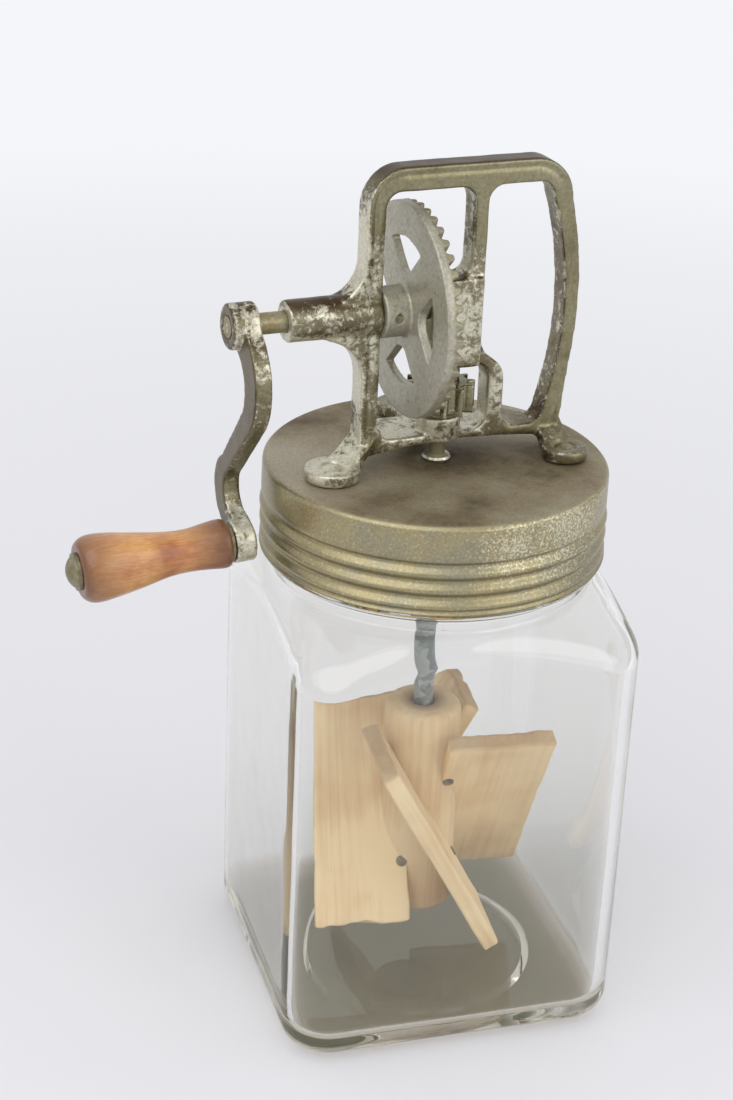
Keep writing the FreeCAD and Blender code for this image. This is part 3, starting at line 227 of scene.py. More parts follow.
def pressed_glass():
    """Soda-lime glass pressed in a mould: clear and faintly wavy; its thick floor is tinted warm grey, partly
    the glass's own cast and partly painted shade of the floor under the jar.
    """
    jar = settings("jar")
    material, tree, shader, place = new_material("pressed_soda_lime_glass")
    swell = add(tree, "TexNoise", {"Vector": place, "Scale": per(34), "Detail": 1.0}).outputs[0]
    bump = add(tree, "Bump", {"Strength": 0.25, "Distance": 0.6 * MM, "Height": swell}).outputs[0]
    # The thick floor takes the floor tint: partly the glass's own cast, partly painted shade under the jar
    height = add(tree, "SeparateXYZ", {0: place}).outputs[2]
    thick = add(tree, "MapRange", {
        "Value": height, "From Min": jar.floor + 1 * MM, "From Max": jar.floor + 5 * MM,
        "To Min": 1.0, "To Max": 0.0}).outputs[0]
    cast = add(tree, "Mix", {0: thick, 6: jar.tint, 7: jar.floor_tint_and_shade}, data_type="RGBA").outputs[2]
    feed(tree, shader, {
        "Base Color": cast, "Roughness": 0.0, "IOR": 1.5, "Transmission Weight": 1.0, "Normal": bump})
    # Light passes straight through for shadows, and where it has already met this many surfaces
    most_surfaces = 4.5
    path = add(tree, "LightPath").outputs
    trapped = add(tree, "Math", {0: path["Ray Depth"], 1: most_surfaces}, operation="GREATER_THAN").outputs[0]
    through = add(tree, "Math", {0: path["Is Shadow Ray"], 1: trapped}, operation="MAXIMUM").outputs[0]
    # Light that has met many surfaces takes the edge tint: painted shade of the dark lines along the corners,
    # partly the glass's own cast
    edges = add(tree, "Mix", {0: trapped, 6: jar.tint, 7: jar.edge_tint_and_shade}, data_type="RGBA").outputs[2]
    clear = add(tree, "BsdfTransparent", {"Color": edges})
    mixed = add(tree, "MixShader", {0: through, 1: shader.outputs[0], 2: clear.outputs[0]})
    tree.links.new(mixed.outputs[0], tree.nodes["Material Output"].inputs["Surface"])
    return material


def aged_tinplate():
    """Lacquered tinplate, pressed: brassy on the skirt, browned and matt on top, with paler areas on the top
    that are partly worn by hands and partly a painted sheen, and a pale speckle on the band that is partly
    thin lacquer and partly a painted highlight.
    """
    tones = settings("lid")
    top_height = LID_HIGH.z
    material, tree, shader, place = new_material("aged_lacquered_tinplate")
    cloud = add(tree, "TexNoise", {"Vector": place, "Scale": per(26), "Detail": 4.0}).outputs[0]
    # Pits in old lacquer are about 0.3 mm wide, and are drawn at 0.9 mm to show
    speck = add(tree, "TexNoise", {
        "Vector": place, "Scale": per(0.9), "Detail": 6.0, "Roughness": 0.7}).outputs[0]
    skirt = add(tree, "ValToRGB", {0: cloud}, stops=[
        (0.36, tones.dull), (0.5, tones.brass), (0.66, tones.dull)]).outputs[0]
    # The lacquer is thin at the front right of the band, and the pale speckle there is partly a painted
    # highlight
    thin_and_glint_spots = [((0.026, -0.060, top_height - 0.006), 0.036), ((0.002, -0.066, top_height - 0.010), 0.020)]
    thin_and_glint_patch = nearness(tree, place, thin_and_glint_spots)
    worn = add(tree, "Math", {0: thin_and_glint_patch, 1: 0.20, 2: speck}, operation="MULTIPLY_ADD").outputs[0]
    worn = add(tree, "MapRange", {"Value": worn, "From Min": 0.60, "From Max": 0.74}).outputs[0]
    skirt = add(tree, "Mix", {0: worn, 6: skirt, 7: tones.bright}, data_type="RGBA").outputs[2]
    normal = add(tree, "NewGeometry").outputs["Normal"]
    upward = add(tree, "SeparateXYZ", {0: normal}).outputs[2]
    broken = add(tree, "Math", {0: speck, 1: 0.5, 2: upward}, operation="MULTIPLY_ADD").outputs[0]
    level = add(tree, "MapRange", {"Value": broken, "From Min": 0.95, "From Max": 1.12}).outputs[0]
    stains = add(tree, "TexNoise", {
        "Vector": place, "Scale": per(34), "Detail": 6.0, "Roughness": 0.62}).outputs[0]
    top = add(tree, "ValToRGB", {0: stains}, stops=[
        (0.36, tones.stain), (0.52, tones.top), (0.7, tones.dull)]).outputs[0]
    # Paler areas of the top: beside the left foot a painted sheen of grazing light, at the right behind the
    # frame worn by hands
    rubbed_and_sheen_spots = [((-0.052, 0.004, top_height), 0.040), ((0.034, 0.030, top_height), 0.034)]
    rubbed = nearness(tree, place, rubbed_and_sheen_spots)
    rubbed = add(tree, "Math", {0: rubbed, 1: stains}, operation="MULTIPLY").outputs[0]
    rubbed = add(tree, "MapRange", {"Value": rubbed, "From Max": 0.34}).outputs[0]
    top = add(tree, "Mix", {0: rubbed, 6: top, 7: tones.rub_and_sheen}, data_type="RGBA").outputs[2]
    both = add(tree, "Mix", {0: level, 6: skirt, 7: top}, data_type="RGBA").outputs[2]
    fine = add(tree, "MapRange", {
        "Value": speck, "From Min": 0.3, "From Max": 0.7, "To Min": 0.72, "To Max": 1.2}).outputs[0]
    both = add(tree, "Mix", {0: 1.0, 6: both, 7: fine}, data_type="RGBA", blend_type="MULTIPLY").outputs[2]
    rough = add(tree, "MapRange", {"Value": level, "To Min": 0.36, "To Max": 0.55}).outputs[0]
    metal = add(tree, "MapRange", {"Value": level, "To Min": 0.85, "To Max": 0.45}).outputs[0]
    bump = add(tree, "Bump", {"Strength": 0.35, "Distance": 0.12 * MM, "Height": speck}).outputs[0]
    feed(tree, shader, {"Base Color": both, "Metallic": metal, "Roughness": rough, "Normal": bump})
    return material


def worn_and_lit_sides(tree, place, level, ground, tones, skin):
    """How a casting looks on its left sides, in front and on top, partly wear and partly painted light: the
    new flake level and ground colour.

    skin says how much plating is added to each of the three; where left sides get more, their pale plating is
    painted light where the light falls on them. High tops are painted browner, partly plating worn off by
    hands and partly painted shade, and so are left sides that are given less plating. Fronts are evened
    towards the middle tone.
    """
    left, ahead, above = skin
    normal = add(tree, "SeparateXYZ", {0: add(tree, "NewGeometry").outputs["Normal"]}).outputs
    front = add(tree, "MapRange", {
        "Value": normal[1], "From Min": -0.92, "From Max": -0.6, "To Min": 1.0, "To Max": 0.0}).outputs[0]
    # Faces turned up: high ones are browned, partly worn plating and partly painted shade
    top = add(tree, "MapRange", {"Value": normal[2], "From Min": 0.45, "From Max": 0.85}).outputs[0]
    height = add(tree, "SeparateXYZ", {0: place}).outputs[2]
    high = add(tree, "MapRange", {
        "Value": height, "From Min": LID_HIGH.z + 18 * MM, "From Max": LID_HIGH.z + 30 * MM}).outputs[0]
    top = add(tree, "Math", {0: top, 1: high}, operation="MULTIPLY").outputs[0]
    # Faces turned to the left, where the light falls: a positive left share paints them paler with plating,
    # as painted light
    side = add(tree, "MapRange", {
        "Value": normal[0], "From Min": -0.9, "From Max": -0.4, "To Min": 1.0, "To Max": 0.0}).outputs[0]
    for share, extra in ((front, ahead), (top, above), (side, left)):
        level = add(tree, "Math", {0: share, 1: extra, 2: level}, operation="MULTIPLY_ADD").outputs[0]
    pits = add(tree, "MapRange", {
        "Value": level, "From Min": 0.46, "From Max": 0.6, "To Max": 0.75}).outputs[0]
    ground = add(tree, "Mix", {0: pits, 6: ground, 7: tones[0]}, data_type="RGBA").outputs[2]
    even = add(tree, "Math", {0: front, 1: 0.5}, operation="MULTIPLY").outputs[0]
    ground = add(tree, "Mix", {0: even, 6: ground, 7: tones[1]}, data_type="RGBA").outputs[2]
    brown = add(tree, "Math", {0: top, 1: 0.85}, operation="MULTIPLY").outputs[0]
    if left < 0:
        brown = add(tree, "Math", {0: side, 1: 0.6, 2: brown}, operation="MULTIPLY_ADD").outputs[0]
    ground = add(tree, "Mix", {0: brown, 6: ground, 7: tones[0]}, data_type="RGBA").outputs[2]
    return level, ground


def oiled_teeth(tree, place, ground, tone):
    """The crown gear's teeth in another tone than its plate: they stand on the side away from the crank."""
    across = add(tree, "SeparateXYZ", {0: place}).outputs[0]
    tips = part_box("crown_gear")[1].x
    teeth = add(tree, "MapRange", {
        "Value": across, "From Min": tips - 4.2 * MM, "From Max": tips - 3.0 * MM, "To Max": 0.7}).outputs[0]
    return add(tree, "Mix", {0: teeth, 6: ground, 7: tone}, data_type="RGBA").outputs[2]


def plated_iron(name, tones, flake, spots, cover, metal=0.85, rough=0.3, skin=None, scale=1.0, worked=None):
    """Cast iron under old plating: three ground tones in clouds, with fine flakes of one more tone on top.

    Flakes gather at the spots and along convex edges, where they are partly edge wear and partly a painted
    highlight; cover says how much plating is left away from them, and skin how much more is left on the left
    sides, in front and on top, partly as painted light and shade. The worked tone lies on the crown gear's
    teeth.
    """
    material, tree, shader, place = new_material(name)
    cloud = add(tree, "TexNoise", {
        "Vector": place, "Scale": per(18 * scale), "Detail": 8.0, "Roughness": 0.66}).outputs[0]
    # The grit of the moulding sand is about 0.3 mm, and is drawn at 1.1 mm to show
    grit = add(tree, "TexNoise", {
        "Vector": place, "Scale": per(1.1), "Detail": 6.0, "Roughness": 0.7}).outputs[0]
    ground = add(tree, "ValToRGB", {0: cloud}, stops=[
        (0.34, tones[0]), (0.47, tones[1]), (0.66, tones[2])]).outputs[0]
    shade = add(tree, "MapRange", {
        "Value": grit, "From Min": 0.3, "From Max": 0.7, "To Min": 0.72, "To Max": 1.2}).outputs[0]
    scab = add(tree, "TexNoise", {
        "Vector": place, "Scale": per(2.4), "Detail": 8.0, "Roughness": 0.75, "Distortion": 0.4}).outputs[0]
    region = add(tree, "TexNoise", {"Vector": place, "Scale": per(9), "Detail": 2.0}).outputs[0]
    scab = add(tree, "Math", {0: region, 1: 0.45, 2: scab}, operation="MULTIPLY_ADD").outputs[0]
    scab = add(tree, "Math", {0: scab, 1: 0.225}, operation="SUBTRACT").outputs[0]
    # Convex edges get more pale plating: a painted highlight along them, partly edge wear
    edge = add(tree, "NewGeometry").outputs["Pointiness"]
    edge = add(tree, "MapRange", {"Value": edge, "From Min": 0.51, "From Max": 0.56}).outputs[0]
    near = nearness(tree, place, spots)
    level = add(tree, "Math", {0: near, 1: 0.32, 2: scab}, operation="MULTIPLY_ADD").outputs[0]
    level = add(tree, "Math", {0: edge, 1: 0.10, 2: level}, operation="MULTIPLY_ADD").outputs[0]
    if skin:
        level, ground = worn_and_lit_sides(tree, place, level, ground, tones, skin)
    if worked:
        ground = oiled_teeth(tree, place, ground, worked)
    ground = add(tree, "Mix", {
        0: 1.0, 6: ground, 7: shade}, data_type="RGBA", blend_type="MULTIPLY").outputs[2]
    flakes = add(tree, "MapRange", {
        "Value": level, "From Min": 0.60 - cover, "From Max": 0.72 - cover}).outputs[0]
    grey = add(tree, "MapRange", {
        "Value": grit, "From Min": 0.42, "From Max": 0.6, "To Min": 0.55}).outputs[0]
    flake_tone = add(tree, "Mix", {0: grey, 6: tones[2], 7: flake}, data_type="RGBA").outputs[2]
    colours = add(tree, "Mix", {0: flakes, 6: ground, 7: flake_tone}, data_type="RGBA").outputs[2]
    metallic = add(tree, "MapRange", {"Value": flakes, "To Min": metal, "To Max": 0.75}).outputs[0]
    roughness = add(tree, "MapRange", {"Value": flakes, "To Min": rough, "To Max": 0.33}).outputs[0]
    height = add(tree, "Math", {0: grit, 1: 0.6, 2: flakes}, operation="MULTIPLY_ADD").outputs[0]
    bump = add(tree, "Bump", {"Strength": 0.5, "Distance": 0.12 * MM, "Height": height}).outputs[0]
    feed(tree, shader, {
        "Base Color": colours, "Metallic": metallic, "Roughness": roughness, "Normal": bump})
    return material


def frame_iron():
    """Grey iron casting, nickel plated: olive and bronze brown with age, cream flakes left by the bearing;
    high tops browner, partly as painted shade, and left sides paler, partly as painted light.
    """
    tones = settings("casting")
    lid = LID_HIGH.z
    sound_plating = [
        ((-0.046, -0.008, lid + 0.055), 0.034),
        ((-0.030, -0.008, lid + 0.040), 0.034),
        ((-0.036, 0.002, lid + 0.078), 0.030),
        ((0.005, -0.008, lid + 0.054), 0.044),
        ((0.021, -0.006, lid + 0.024), 0.024),
        ((-0.006, -0.008, lid + 0.010), 0.050),
        ((-0.046, -0.0088, lid + 0.006), 0.030)]
    return plated_iron("nickel_plated_cast_iron", (tones.bronze, tones.olive, tones.sage), tones.nickel,
                       sound_plating, 0.03, skin=(0.06, -0.11, -0.16))


def crank_iron():
    """Nickel plated iron of the crank: darker and smoother, with bright nickel left on its eye and hub."""
    tones = settings("casting")
    axis = Vector(JOINTS["crank_turn"]["pos_m"])
    eye = Vector(JOINTS["grip_spin"]["pos_m"])
    sound_plating = [(tuple(eye), 0.020), ((eye.x, axis.y, axis.z), 0.016)]
    return plated_iron("nickel_plated_crank_iron", (tones.bronze, tones.olive, tones.olive), tones.nickel,
                       sound_plating, 0.05, skin=(-0.14, 0.03, -0.04))


def gear_iron():
    """Bare cast iron of the crown gear: matt grey-brown skin, oiled teeth, a little rust at the hub."""
    tones = settings("casting")
    hub = Vector(JOINTS["crank_turn"]["pos_m"])
    rusty = [((-0.020, hub.y, hub.z), 0.014)]
    return plated_iron("oiled_grey_cast_iron", (tones.sage, tones.iron, tones.iron), tones.rust,
                       rusty, -0.12, metal=0.6, rough=0.42, scale=0.14, worked=tones.olive)


def pinion_iron():
    """The pinion's iron: polished by the crown gear's teeth, dark bronze mottled with olive."""
    tones = settings("casting")
    return plated_iron("polished_oiled_iron", (tones.iron_dark, tones.olive, tones.sage), tones.nickel,
                       (), 0.02, metal=0.9, rough=0.26)


def shaft_steel():
    """Turned mild steel bar: bronze brown with age, dull shine, bright at its end in the crank's hub."""
    tones = settings("casting")
    axis = Vector(JOINTS["crank_turn"]["pos_m"])
    bright_end = [((-0.086, axis.y, axis.z), 0.003)]
    return plated_iron("aged_mild_steel_bar", (tones.olive, tones.brassy, tones.sage), tones.nickel,
                       bright_end, -0.08, metal=0.75, rough=0.33)


def eyelet_metal():
    """Nickel plated brass of the eyelet: silvery flange, olive tube."""
    tones = settings("casting")
    flange = [((0.0, 0.0, LID_HIGH.z + 0.001), 0.012)]
    return plated_iron("nickel_plated_brass", (tones.olive, tones.sage, tones.iron), tones.nickel,
                       flange, 0.02, metal=0.8, rough=0.34)


def galvanised_rod():
    """Hot-dip galvanised rod: dull blue-grey zinc with pale spangle, olive with old oil above the lid."""
    tones = settings("casting")
    material, tree, shader, place = new_material("galvanised_steel_rod")
    spangle = add(tree, "TexVoronoi", {"Vector": place, "Scale": per(2.6)}).outputs["Color"]
    grain = add(tree, "SeparateColor", {0: spangle}).outputs[0]
    tone = add(tree, "ValToRGB", {0: grain}, stops=[(0.2, tones.zinc), (0.8, tones.spangle)]).outputs[0]
    height = add(tree, "SeparateXYZ", {0: place}).outputs[2]
    oiled = add(tree, "MapRange", {"Value": height, "From Min": LID_LOW.z, "From Max": LID_HIGH.z}).outputs[0]
    tone = add(tree, "Mix", {0: oiled, 6: tone, 7: tones.olive}, data_type="RGBA").outputs[2]
    rough = add(tree, "MapRange", {"Value": grain, "To Min": 0.4, "To Max": 0.6}).outputs[0]
    bump = add(tree, "Bump", {"Strength": 0.4, "Distance": 0.1 * MM, "Height": grain}).outputs[0]
    feed(tree, shader, {"Base Color": tone, "Metallic": 0.7, "Roughness": rough, "Normal": bump})
    return material


def fastener_steel():
    """Plain steel of pins, washers and nails: dark, dull and a little rusty."""
    tones = settings("casting")
    return plated_iron("dull_fastener_steel", (tones.iron_dark, tones.olive, tones.iron), tones.bronze,
                       (), -0.02, metal=0.7, rough=0.42)


def varnished_wood():
    """Turned hardwood under old red-brown varnish: fine grain along it, worn pale, dark at both ends."""
    tones = settings("wood")
    start = Vector(JOINTS["grip_spin"]["pos_m"])
    along = Vector(JOINTS["grip_spin"]["axis"])
    material, tree, shader, place = new_material("varnished_turned_hardwood")
    # Pores are about 0.3 mm across, and are drawn at 0.8 mm to show
    fibres = add(tree, "Mapping", {"Vector": place, "Scale": (per(7), per(0.8), per(0.8))}).outputs[0]
    grain = add(tree, "TexNoise", {
        "Vector": fibres, "Scale": 1.0, "Detail": 6.0, "Roughness": 0.6}).outputs[0]
    cloud = add(tree, "TexNoise", {"Vector": place, "Scale": per(20), "Detail": 4.0}).outputs[0]
    tone = add(tree, "ValToRGB", {0: cloud}, stops=[
        (0.40, tones.grip_red), (0.62, tones.grip_light)]).outputs[0]
    streak = add(tree, "MapRange", {
        "Value": grain, "From Min": 0.3, "From Max": 0.7, "To Min": 0.72, "To Max": 1.1}).outputs[0]
    tone = add(tree, "Mix", {0: 1.0, 6: tone, 7: streak}, data_type="RGBA", blend_type="MULTIPLY").outputs[2]
    inner = start + along * 0.003
    outer = start + along * 0.066
    ends = nearness(tree, place, [(tuple(inner), 0.023), (tuple(outer), 0.024)])
    ends = add(tree, "Math", {0: cloud, 1: 0.5, 2: ends}, operation="MULTIPLY_ADD").outputs[0]
    ends = add(tree, "MapRange", {
        "Value": ends, "From Min": 0.32, "From Max": 0.85, "To Max": 0.85}).outputs[0]
    tone = add(tree, "Mix", {0: ends, 6: tone, 7: tones.grip_dark}, data_type="RGBA").outputs[2]
    bump = add(tree, "Bump", {"Strength": 0.35, "Distance": 0.12 * MM, "Height": grain}).outputs[0]
    feed(tree, shader, {
        "Base Color": tone, "Roughness": 0.34, "Coat Weight": 0.4, "Coat Roughness": 0.2, "Normal": bump})
    return material


def bare_wood(name, coordinate, stains=(), end=None, dull=0.0):
    """Unfinished wood, turned or sawn: pale tan with fine straight grain, browned at end grain and stains."""
    tones = settings("wood")
    material, tree, shader, place = new_material(name)
    if coordinate:
        place = add(tree, "Attribute", attribute_name=coordinate).outputs["Vector"]
    # Growth rings are about 1 mm apart, and are drawn at 2.2 mm to show
    fibres = add(tree, "Mapping", {"Vector": place, "Scale": (per(2.2), per(2.2), per(60))}).outputs[0]
    grain = add(tree, "TexNoise", {
        "Vector": fibres, "Scale": 1.0, "Detail": 7.0, "Roughness": 0.62}).outputs[0]
    cloud = add(tree, "TexNoise", {"Vector": place, "Scale": per(30), "Detail": 3.0}).outputs[0]
    both = add(tree, "Math", {0: grain, 1: 0.6, 2: cloud}, operation="MULTIPLY_ADD").outputs[0]
    tone = add(tree, "ValToRGB", {0: both}, stops=[
        (0.55, tones.bare_tan), (0.9, tones.bare_light)]).outputs[0]
    # dull darkens the whole piece towards the stain colour; on the hub this is partly stain and partly
    # painted shade
    if dull:
        tone = add(tree, "Mix", {0: dull, 6: tone, 7: tones.bare_stain}, data_type="RGBA").outputs[2]
    if stains:
        near = nearness(tree, place, stains)
        near = add(tree, "Math", {0: cloud, 1: 0.5, 2: near}, operation="MULTIPLY_ADD").outputs[0]
        near = add(tree, "MapRange", {
            "Value": near, "From Min": 0.3, "From Max": 0.85, "To Max": 0.85}).outputs[0]
        tone = add(tree, "Mix", {0: near, 6: tone, 7: tones.bare_stain}, data_type="RGBA").outputs[2]
    if end:
        height = add(tree, "SeparateXYZ", {0: place}).outputs[2]
        cut = add(tree, "MapRange", {
            "Value": height, "From Min": end - 1.6 * MM, "From Max": end, "To Max": 0.5}).outputs[0]
        tone = add(tree, "Mix", {0: cut, 6: tone, 7: tones.bare_stain}, data_type="RGBA").outputs[2]
    bump = add(tree, "Bump", {"Strength": 0.4, "Distance": 0.15 * MM, "Height": grain}).outputs[0]
    feed(tree, shader, {"Base Color": tone, "Roughness": 0.72, "Normal": bump})
    return material


def finish_piece(name, mesh, material, body, replaced=()):
    """Puts a finished mesh in the scene as a piece that rides on a body."""
    piece = bpy.data.objects.new(name, mesh)
    bpy.context.scene.collection.objects.link(piece)
    mesh.materials.clear()
    mesh.materials.append(material)
    mesh.polygons.foreach_set("use_smooth", [True] * len(mesh.polygons))
    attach(piece, body)
    if replaced:
        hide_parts(*replaced)


def mesh_of(bm, name):
    """Turns a closed bmesh into a mesh whose faces point outwards."""
    bmesh.ops.recalc_face_normals(bm, faces=bm.faces)
    mesh = bpy.data.meshes.new(name)
    bm.to_mesh(mesh)
    bm.free()
    return mesh


def loft(rings):
    """A closed skin over rings with equal numbers of points, with a flat face over the first and the last."""
    bm = bmesh.new()
    count = len(rings[0])
    verts = bmesh.ops.create_circle(bm, cap_ends=True, segments=count, radius=1.0)["verts"]
    place = {vert: index for index, vert in enumerate(verts)}
    edges = list(bm.edges)
    for vert, index in place.items():
        vert.co = rings[0][index]
    for ring in rings[1:]:
        made = bmesh.ops.extrude_edge_only(bm, edges=edges)["geom"]
        fresh = {}
        for vert in (item for item in made if isinstance(item, bmesh.types.BMVert)):
            for edge in vert.link_edges:
                other = edge.other_vert(vert)
                if other in place:
                    fresh[vert] = place[other]
        edges = [item for item in made if isinstance(item, bmesh.types.BMEdge)
                 and item.verts[0] in fresh and item.verts[1] in fresh]
        for vert, index in fresh.items():
            vert.co = ring[index]
        place = fresh
    bmesh.ops.edgeloop_fill(bm, edges=edges)
    return bm


def turned(profile, steps):
    """A closed outline of (radius, height) spun about Z. Where it touches the axis its points are merged."""
    bm = bmesh.new()
    verts = [bm.verts.new((radius, 0, height)) for radius, height in profile]
    edges = [bm.edges.new((verts[index - 1], verts[index])) for index in range(len(verts))]
    bmesh.ops.spin(bm, geom=verts + edges, cent=(0, 0, 0), axis=(0, 0, 1), angle=math.tau, steps=steps,
                   use_merge=True)
    bmesh.ops.remove_doubles(bm, verts=bm.verts, dist=0.001 * MM)
    return bm


def worn_unevenly(bm, bore, spacing, depth):
    """Gives a turned piece dents this far apart and this deep, but none at its bore."""
    for vert in bm.verts:
        outward = Vector((vert.co.x, vert.co.y, 0))
        if outward.length > 2 * bore:
            vert.co += outward.normalized() * (noise.noise(vert.co / spacing) * depth)


def smooth_least(a, b, reach):
    """The lesser of two lengths, rounded off where they cross."""
    share = max(0.0, min(1.0, 0.5 + (b - a) / (2 * reach)))
    return b + (a - b) * share - reach * share * (1 - share)


def square_reach(heading, half, corner):
    """From the middle of a round-cornered square to its side."""
    across, along = sorted((abs(math.cos(heading)), abs(math.sin(heading))))
    centre = half - corner
    if half / along * across <= centre:
        return half / along
    toward = centre * (along + across)
    return toward + math.sqrt(toward ** 2 - 2 * centre ** 2 + corner ** 2)


def jar_headings(half, corner, flat_steps=16, corner_steps=14):
    """Headings round the jar, closer together at its corners."""
    edge = math.atan2(half - corner, half)
    headings = []
    for side in range(4):
        middle = side * math.pi / 2
        for step in range(flat_steps):
            headings.append(middle - edge + 2 * edge * step / flat_steps)
        for step in range(corner_steps):
            headings.append(middle + edge + (math.pi / 2 - 2 * edge) * step / corner_steps)
    return headings


def steps_between(low, high, count):
    return [low + (high - low) * index / count for index in range(count + 1)]


class CHURN_OT_jar(bpy.types.Operator):
    """Presses the square jar: heel, flat sides, sloping shoulder, beaded neck and thick floor"""
    bl_idname = "churn.jar"
    bl_label = "Glass jar"

    def execute(self, context):
        jar = settings("jar")
        half = jar.width / 2
        top = JAR_HIGH.z
        shoulder_round = 11 * MM
        ripple_spacing = 42 * MM
        outer_ripple, inner_ripple = 0.15 * MM, 0.3 * MM
        headings = jar_headings(half, jar.corner)
        rings = []

        def ring(height, inset, shoulder, neck, wave, fillet):
            """A ring of points on the square sides, the sloping shoulder or the neck."""
            cone = (half - inset) + (shoulder - height) / math.tan(jar.slope)
            points = []
            for heading in headings:
                side = square_reach(heading, half - inset, max(jar.corner - inset, 1 * MM))
                reach = smooth_least(side, cone, shoulder_round)
                reach = -smooth_least(-reach, -neck, fillet)
                point = Vector((math.cos(heading) * reach, math.sin(heading) * reach, height))
                ripple = noise.noise(point / ripple_spacing) * wave
                point += Vector((math.cos(heading), math.sin(heading), 0)) * ripple
                points.append(point)
            rings.append(points)

        def disc(radius, height):
            rings.append([Vector((math.cos(h) * radius, math.sin(h) * radius, height)) for h in headings])

        no_shoulder = 1.0
        depth = jar.push_up_depth
        for share in (0.04, 0.4, 0.8):
            disc(jar.push_up * share, depth)
        for tilt in steps_between(0, math.pi, 8):
            swing = math.cos(tilt)
            disc(jar.push_up - depth + depth * (0.5 - 0.5 * swing), depth * (0.5 + 0.5 * swing))
        disc(jar.push_up + 2 * MM, 0)
        for tilt in steps_between(0, math.pi / 2, 9):
            inset = jar.heel * (1 - math.sin(tilt))
            ring(jar.heel * (1 - math.cos(tilt)), inset, no_shoulder, 0.0, 0.0, 1 * MM)
        shoulder = top - jar.shoulder_drop
        for height in steps_between(jar.heel, shoulder - 20 * MM, 20)[1:]:
            ring(height, 0, shoulder, jar.neck, outer_ripple, 1.5 * MM)
        for height in steps_between(shoulder - 20 * MM, shoulder + 6 * MM, 44)[1:]:
            ring(height, 0, shoulder, jar.neck, outer_ripple, 1.5 * MM)
        bead = top - jar.bead_drop
        for height in steps_between(shoulder + 6 * MM, bead + 4 * MM, 14)[1:]:
            stand = (jar.bead - jar.neck) * math.exp(-((height - bead) / (1.5 * MM)) ** 2)
            disc(jar.neck + stand, height)
        for height in steps_between(bead + 4 * MM, top - 1.5 * MM, 6)[1:]:
            disc(jar.neck, height)
        rim = jar.wall / 2
        for tilt in steps_between(0, math.pi, 8)[1:-1]:
            disc(jar.neck - rim + rim * math.cos(tilt), top - rim * 0.7 + rim * 0.7 * math.sin(tilt))
        bore = jar.neck - jar.wall
        inner_shoulder = shoulder - jar.wall * 0.6
        for height in steps_between(top - 2 * MM, inner_shoulder + 8 * MM, 8):
            disc(bore, height)
        for height in steps_between(inner_shoulder + 8 * MM, inner_shoulder - 20 * MM, 44)[1:]:
            ring(height, jar.wall, inner_shoulder, bore, inner_ripple, 2 * MM)
        heel = jar.heel - jar.wall
        for height in steps_between(inner_shoulder - 20 * MM, jar.floor + heel, 20)[1:]:
            ring(height, jar.wall, inner_shoulder, bore, inner_ripple, 2 * MM)
        for tilt in steps_between(math.pi / 2, 0, 8)[1:]:
            inset = heel * (1 - math.sin(tilt))
            ring(jar.floor + heel * (1 - math.cos(tilt)), jar.wall + inset, no_shoulder, 0.0, 0.0, 1 * MM)
        for share in (0.8, 0.55, 0.3, 0.05):
            disc(half * share, jar.floor + 0.5 * MM * (1 - share))
        bm = loft(rings)
        bmesh.ops.rotate(bm, verts=bm.verts, cent=(0, 0, 0), matrix=Matrix.Rotation(jar.turn, 3, "Z"))
        finish_piece("jar_pressing", mesh_of(bm, "jar_pressing"), pressed_glass(), "jar",
                     ["glass_jar"])
        return {"FINISHED"}


class CHURN_OT_lid(bpy.types.Operator):
    """Presses and rolls the lid: flat top, plain band, three beads and a curled rim"""
    bl_idname = "churn.lid"
    bl_label = "Screw lid"

    def execute(self, context):
        lid = settings("lid")
        skirt = LID_HIGH.z - LID_LOW.z
        line = lid.radius - lid.bead_depth / 3
        dent_spacing, dent_depth = 30 * MM, 0.35 * MM

        def stand(drop):
            if drop < lid.band:
                return lid.radius
            swing = math.sin(math.tau * (drop - lid.band) / lid.bead_pitch)
            flare = max(0.0, 1 - (skirt - drop) / (1.6 * MM))
            return line - lid.bead_depth * swing * (1 - flare) + lid.curl * flare

        outer = [(radius, 0.0) for radius in steps_between(lid.hole, lid.radius - lid.edge, 12)]
        for tilt in steps_between(0, math.pi / 2, 8)[1:]:
            outer.append((lid.radius - lid.edge * (1 - math.sin(tilt)), -lid.edge * (1 - math.cos(tilt))))
        drops = steps_between(lid.edge, lid.band - 0.4 * MM, 5)[1:] + steps_between(lid.band, skirt, 60)
        outer += [(stand(drop), -drop) for drop in drops]
        inner = [(radius - lid.gauge, min(height, -lid.gauge)) for radius, height in outer]
        inner[0] = (lid.hole, -lid.gauge)
        inner[-1] = (inner[-1][0], -skirt)
        bm = turned(outer + inner[::-1], 220)
        for vert in bm.verts:
            bent = noise.noise(vert.co / dent_spacing) * dent_depth
            edge_share = min(1.0, math.hypot(vert.co.x, vert.co.y) / lid.radius)
            if vert.co.z > -1.5 * MM:
                vert.co.z += bent * 0.6 - 0.5 * MM * (1 - edge_share) - 0.2 * MM
            else:
                vert.co.x *= 1 + bent / lid.radius
                vert.co.y *= 1 + bent / lid.radius
        bmesh.ops.translate(bm, verts=bm.verts, vec=(0, 0, LID_HIGH.z))
        finish_piece("lid_pressing", mesh_of(bm, "lid_pressing"), aged_tinplate(), "lid",
                     ["screw_lid"])
        return {"FINISHED"}


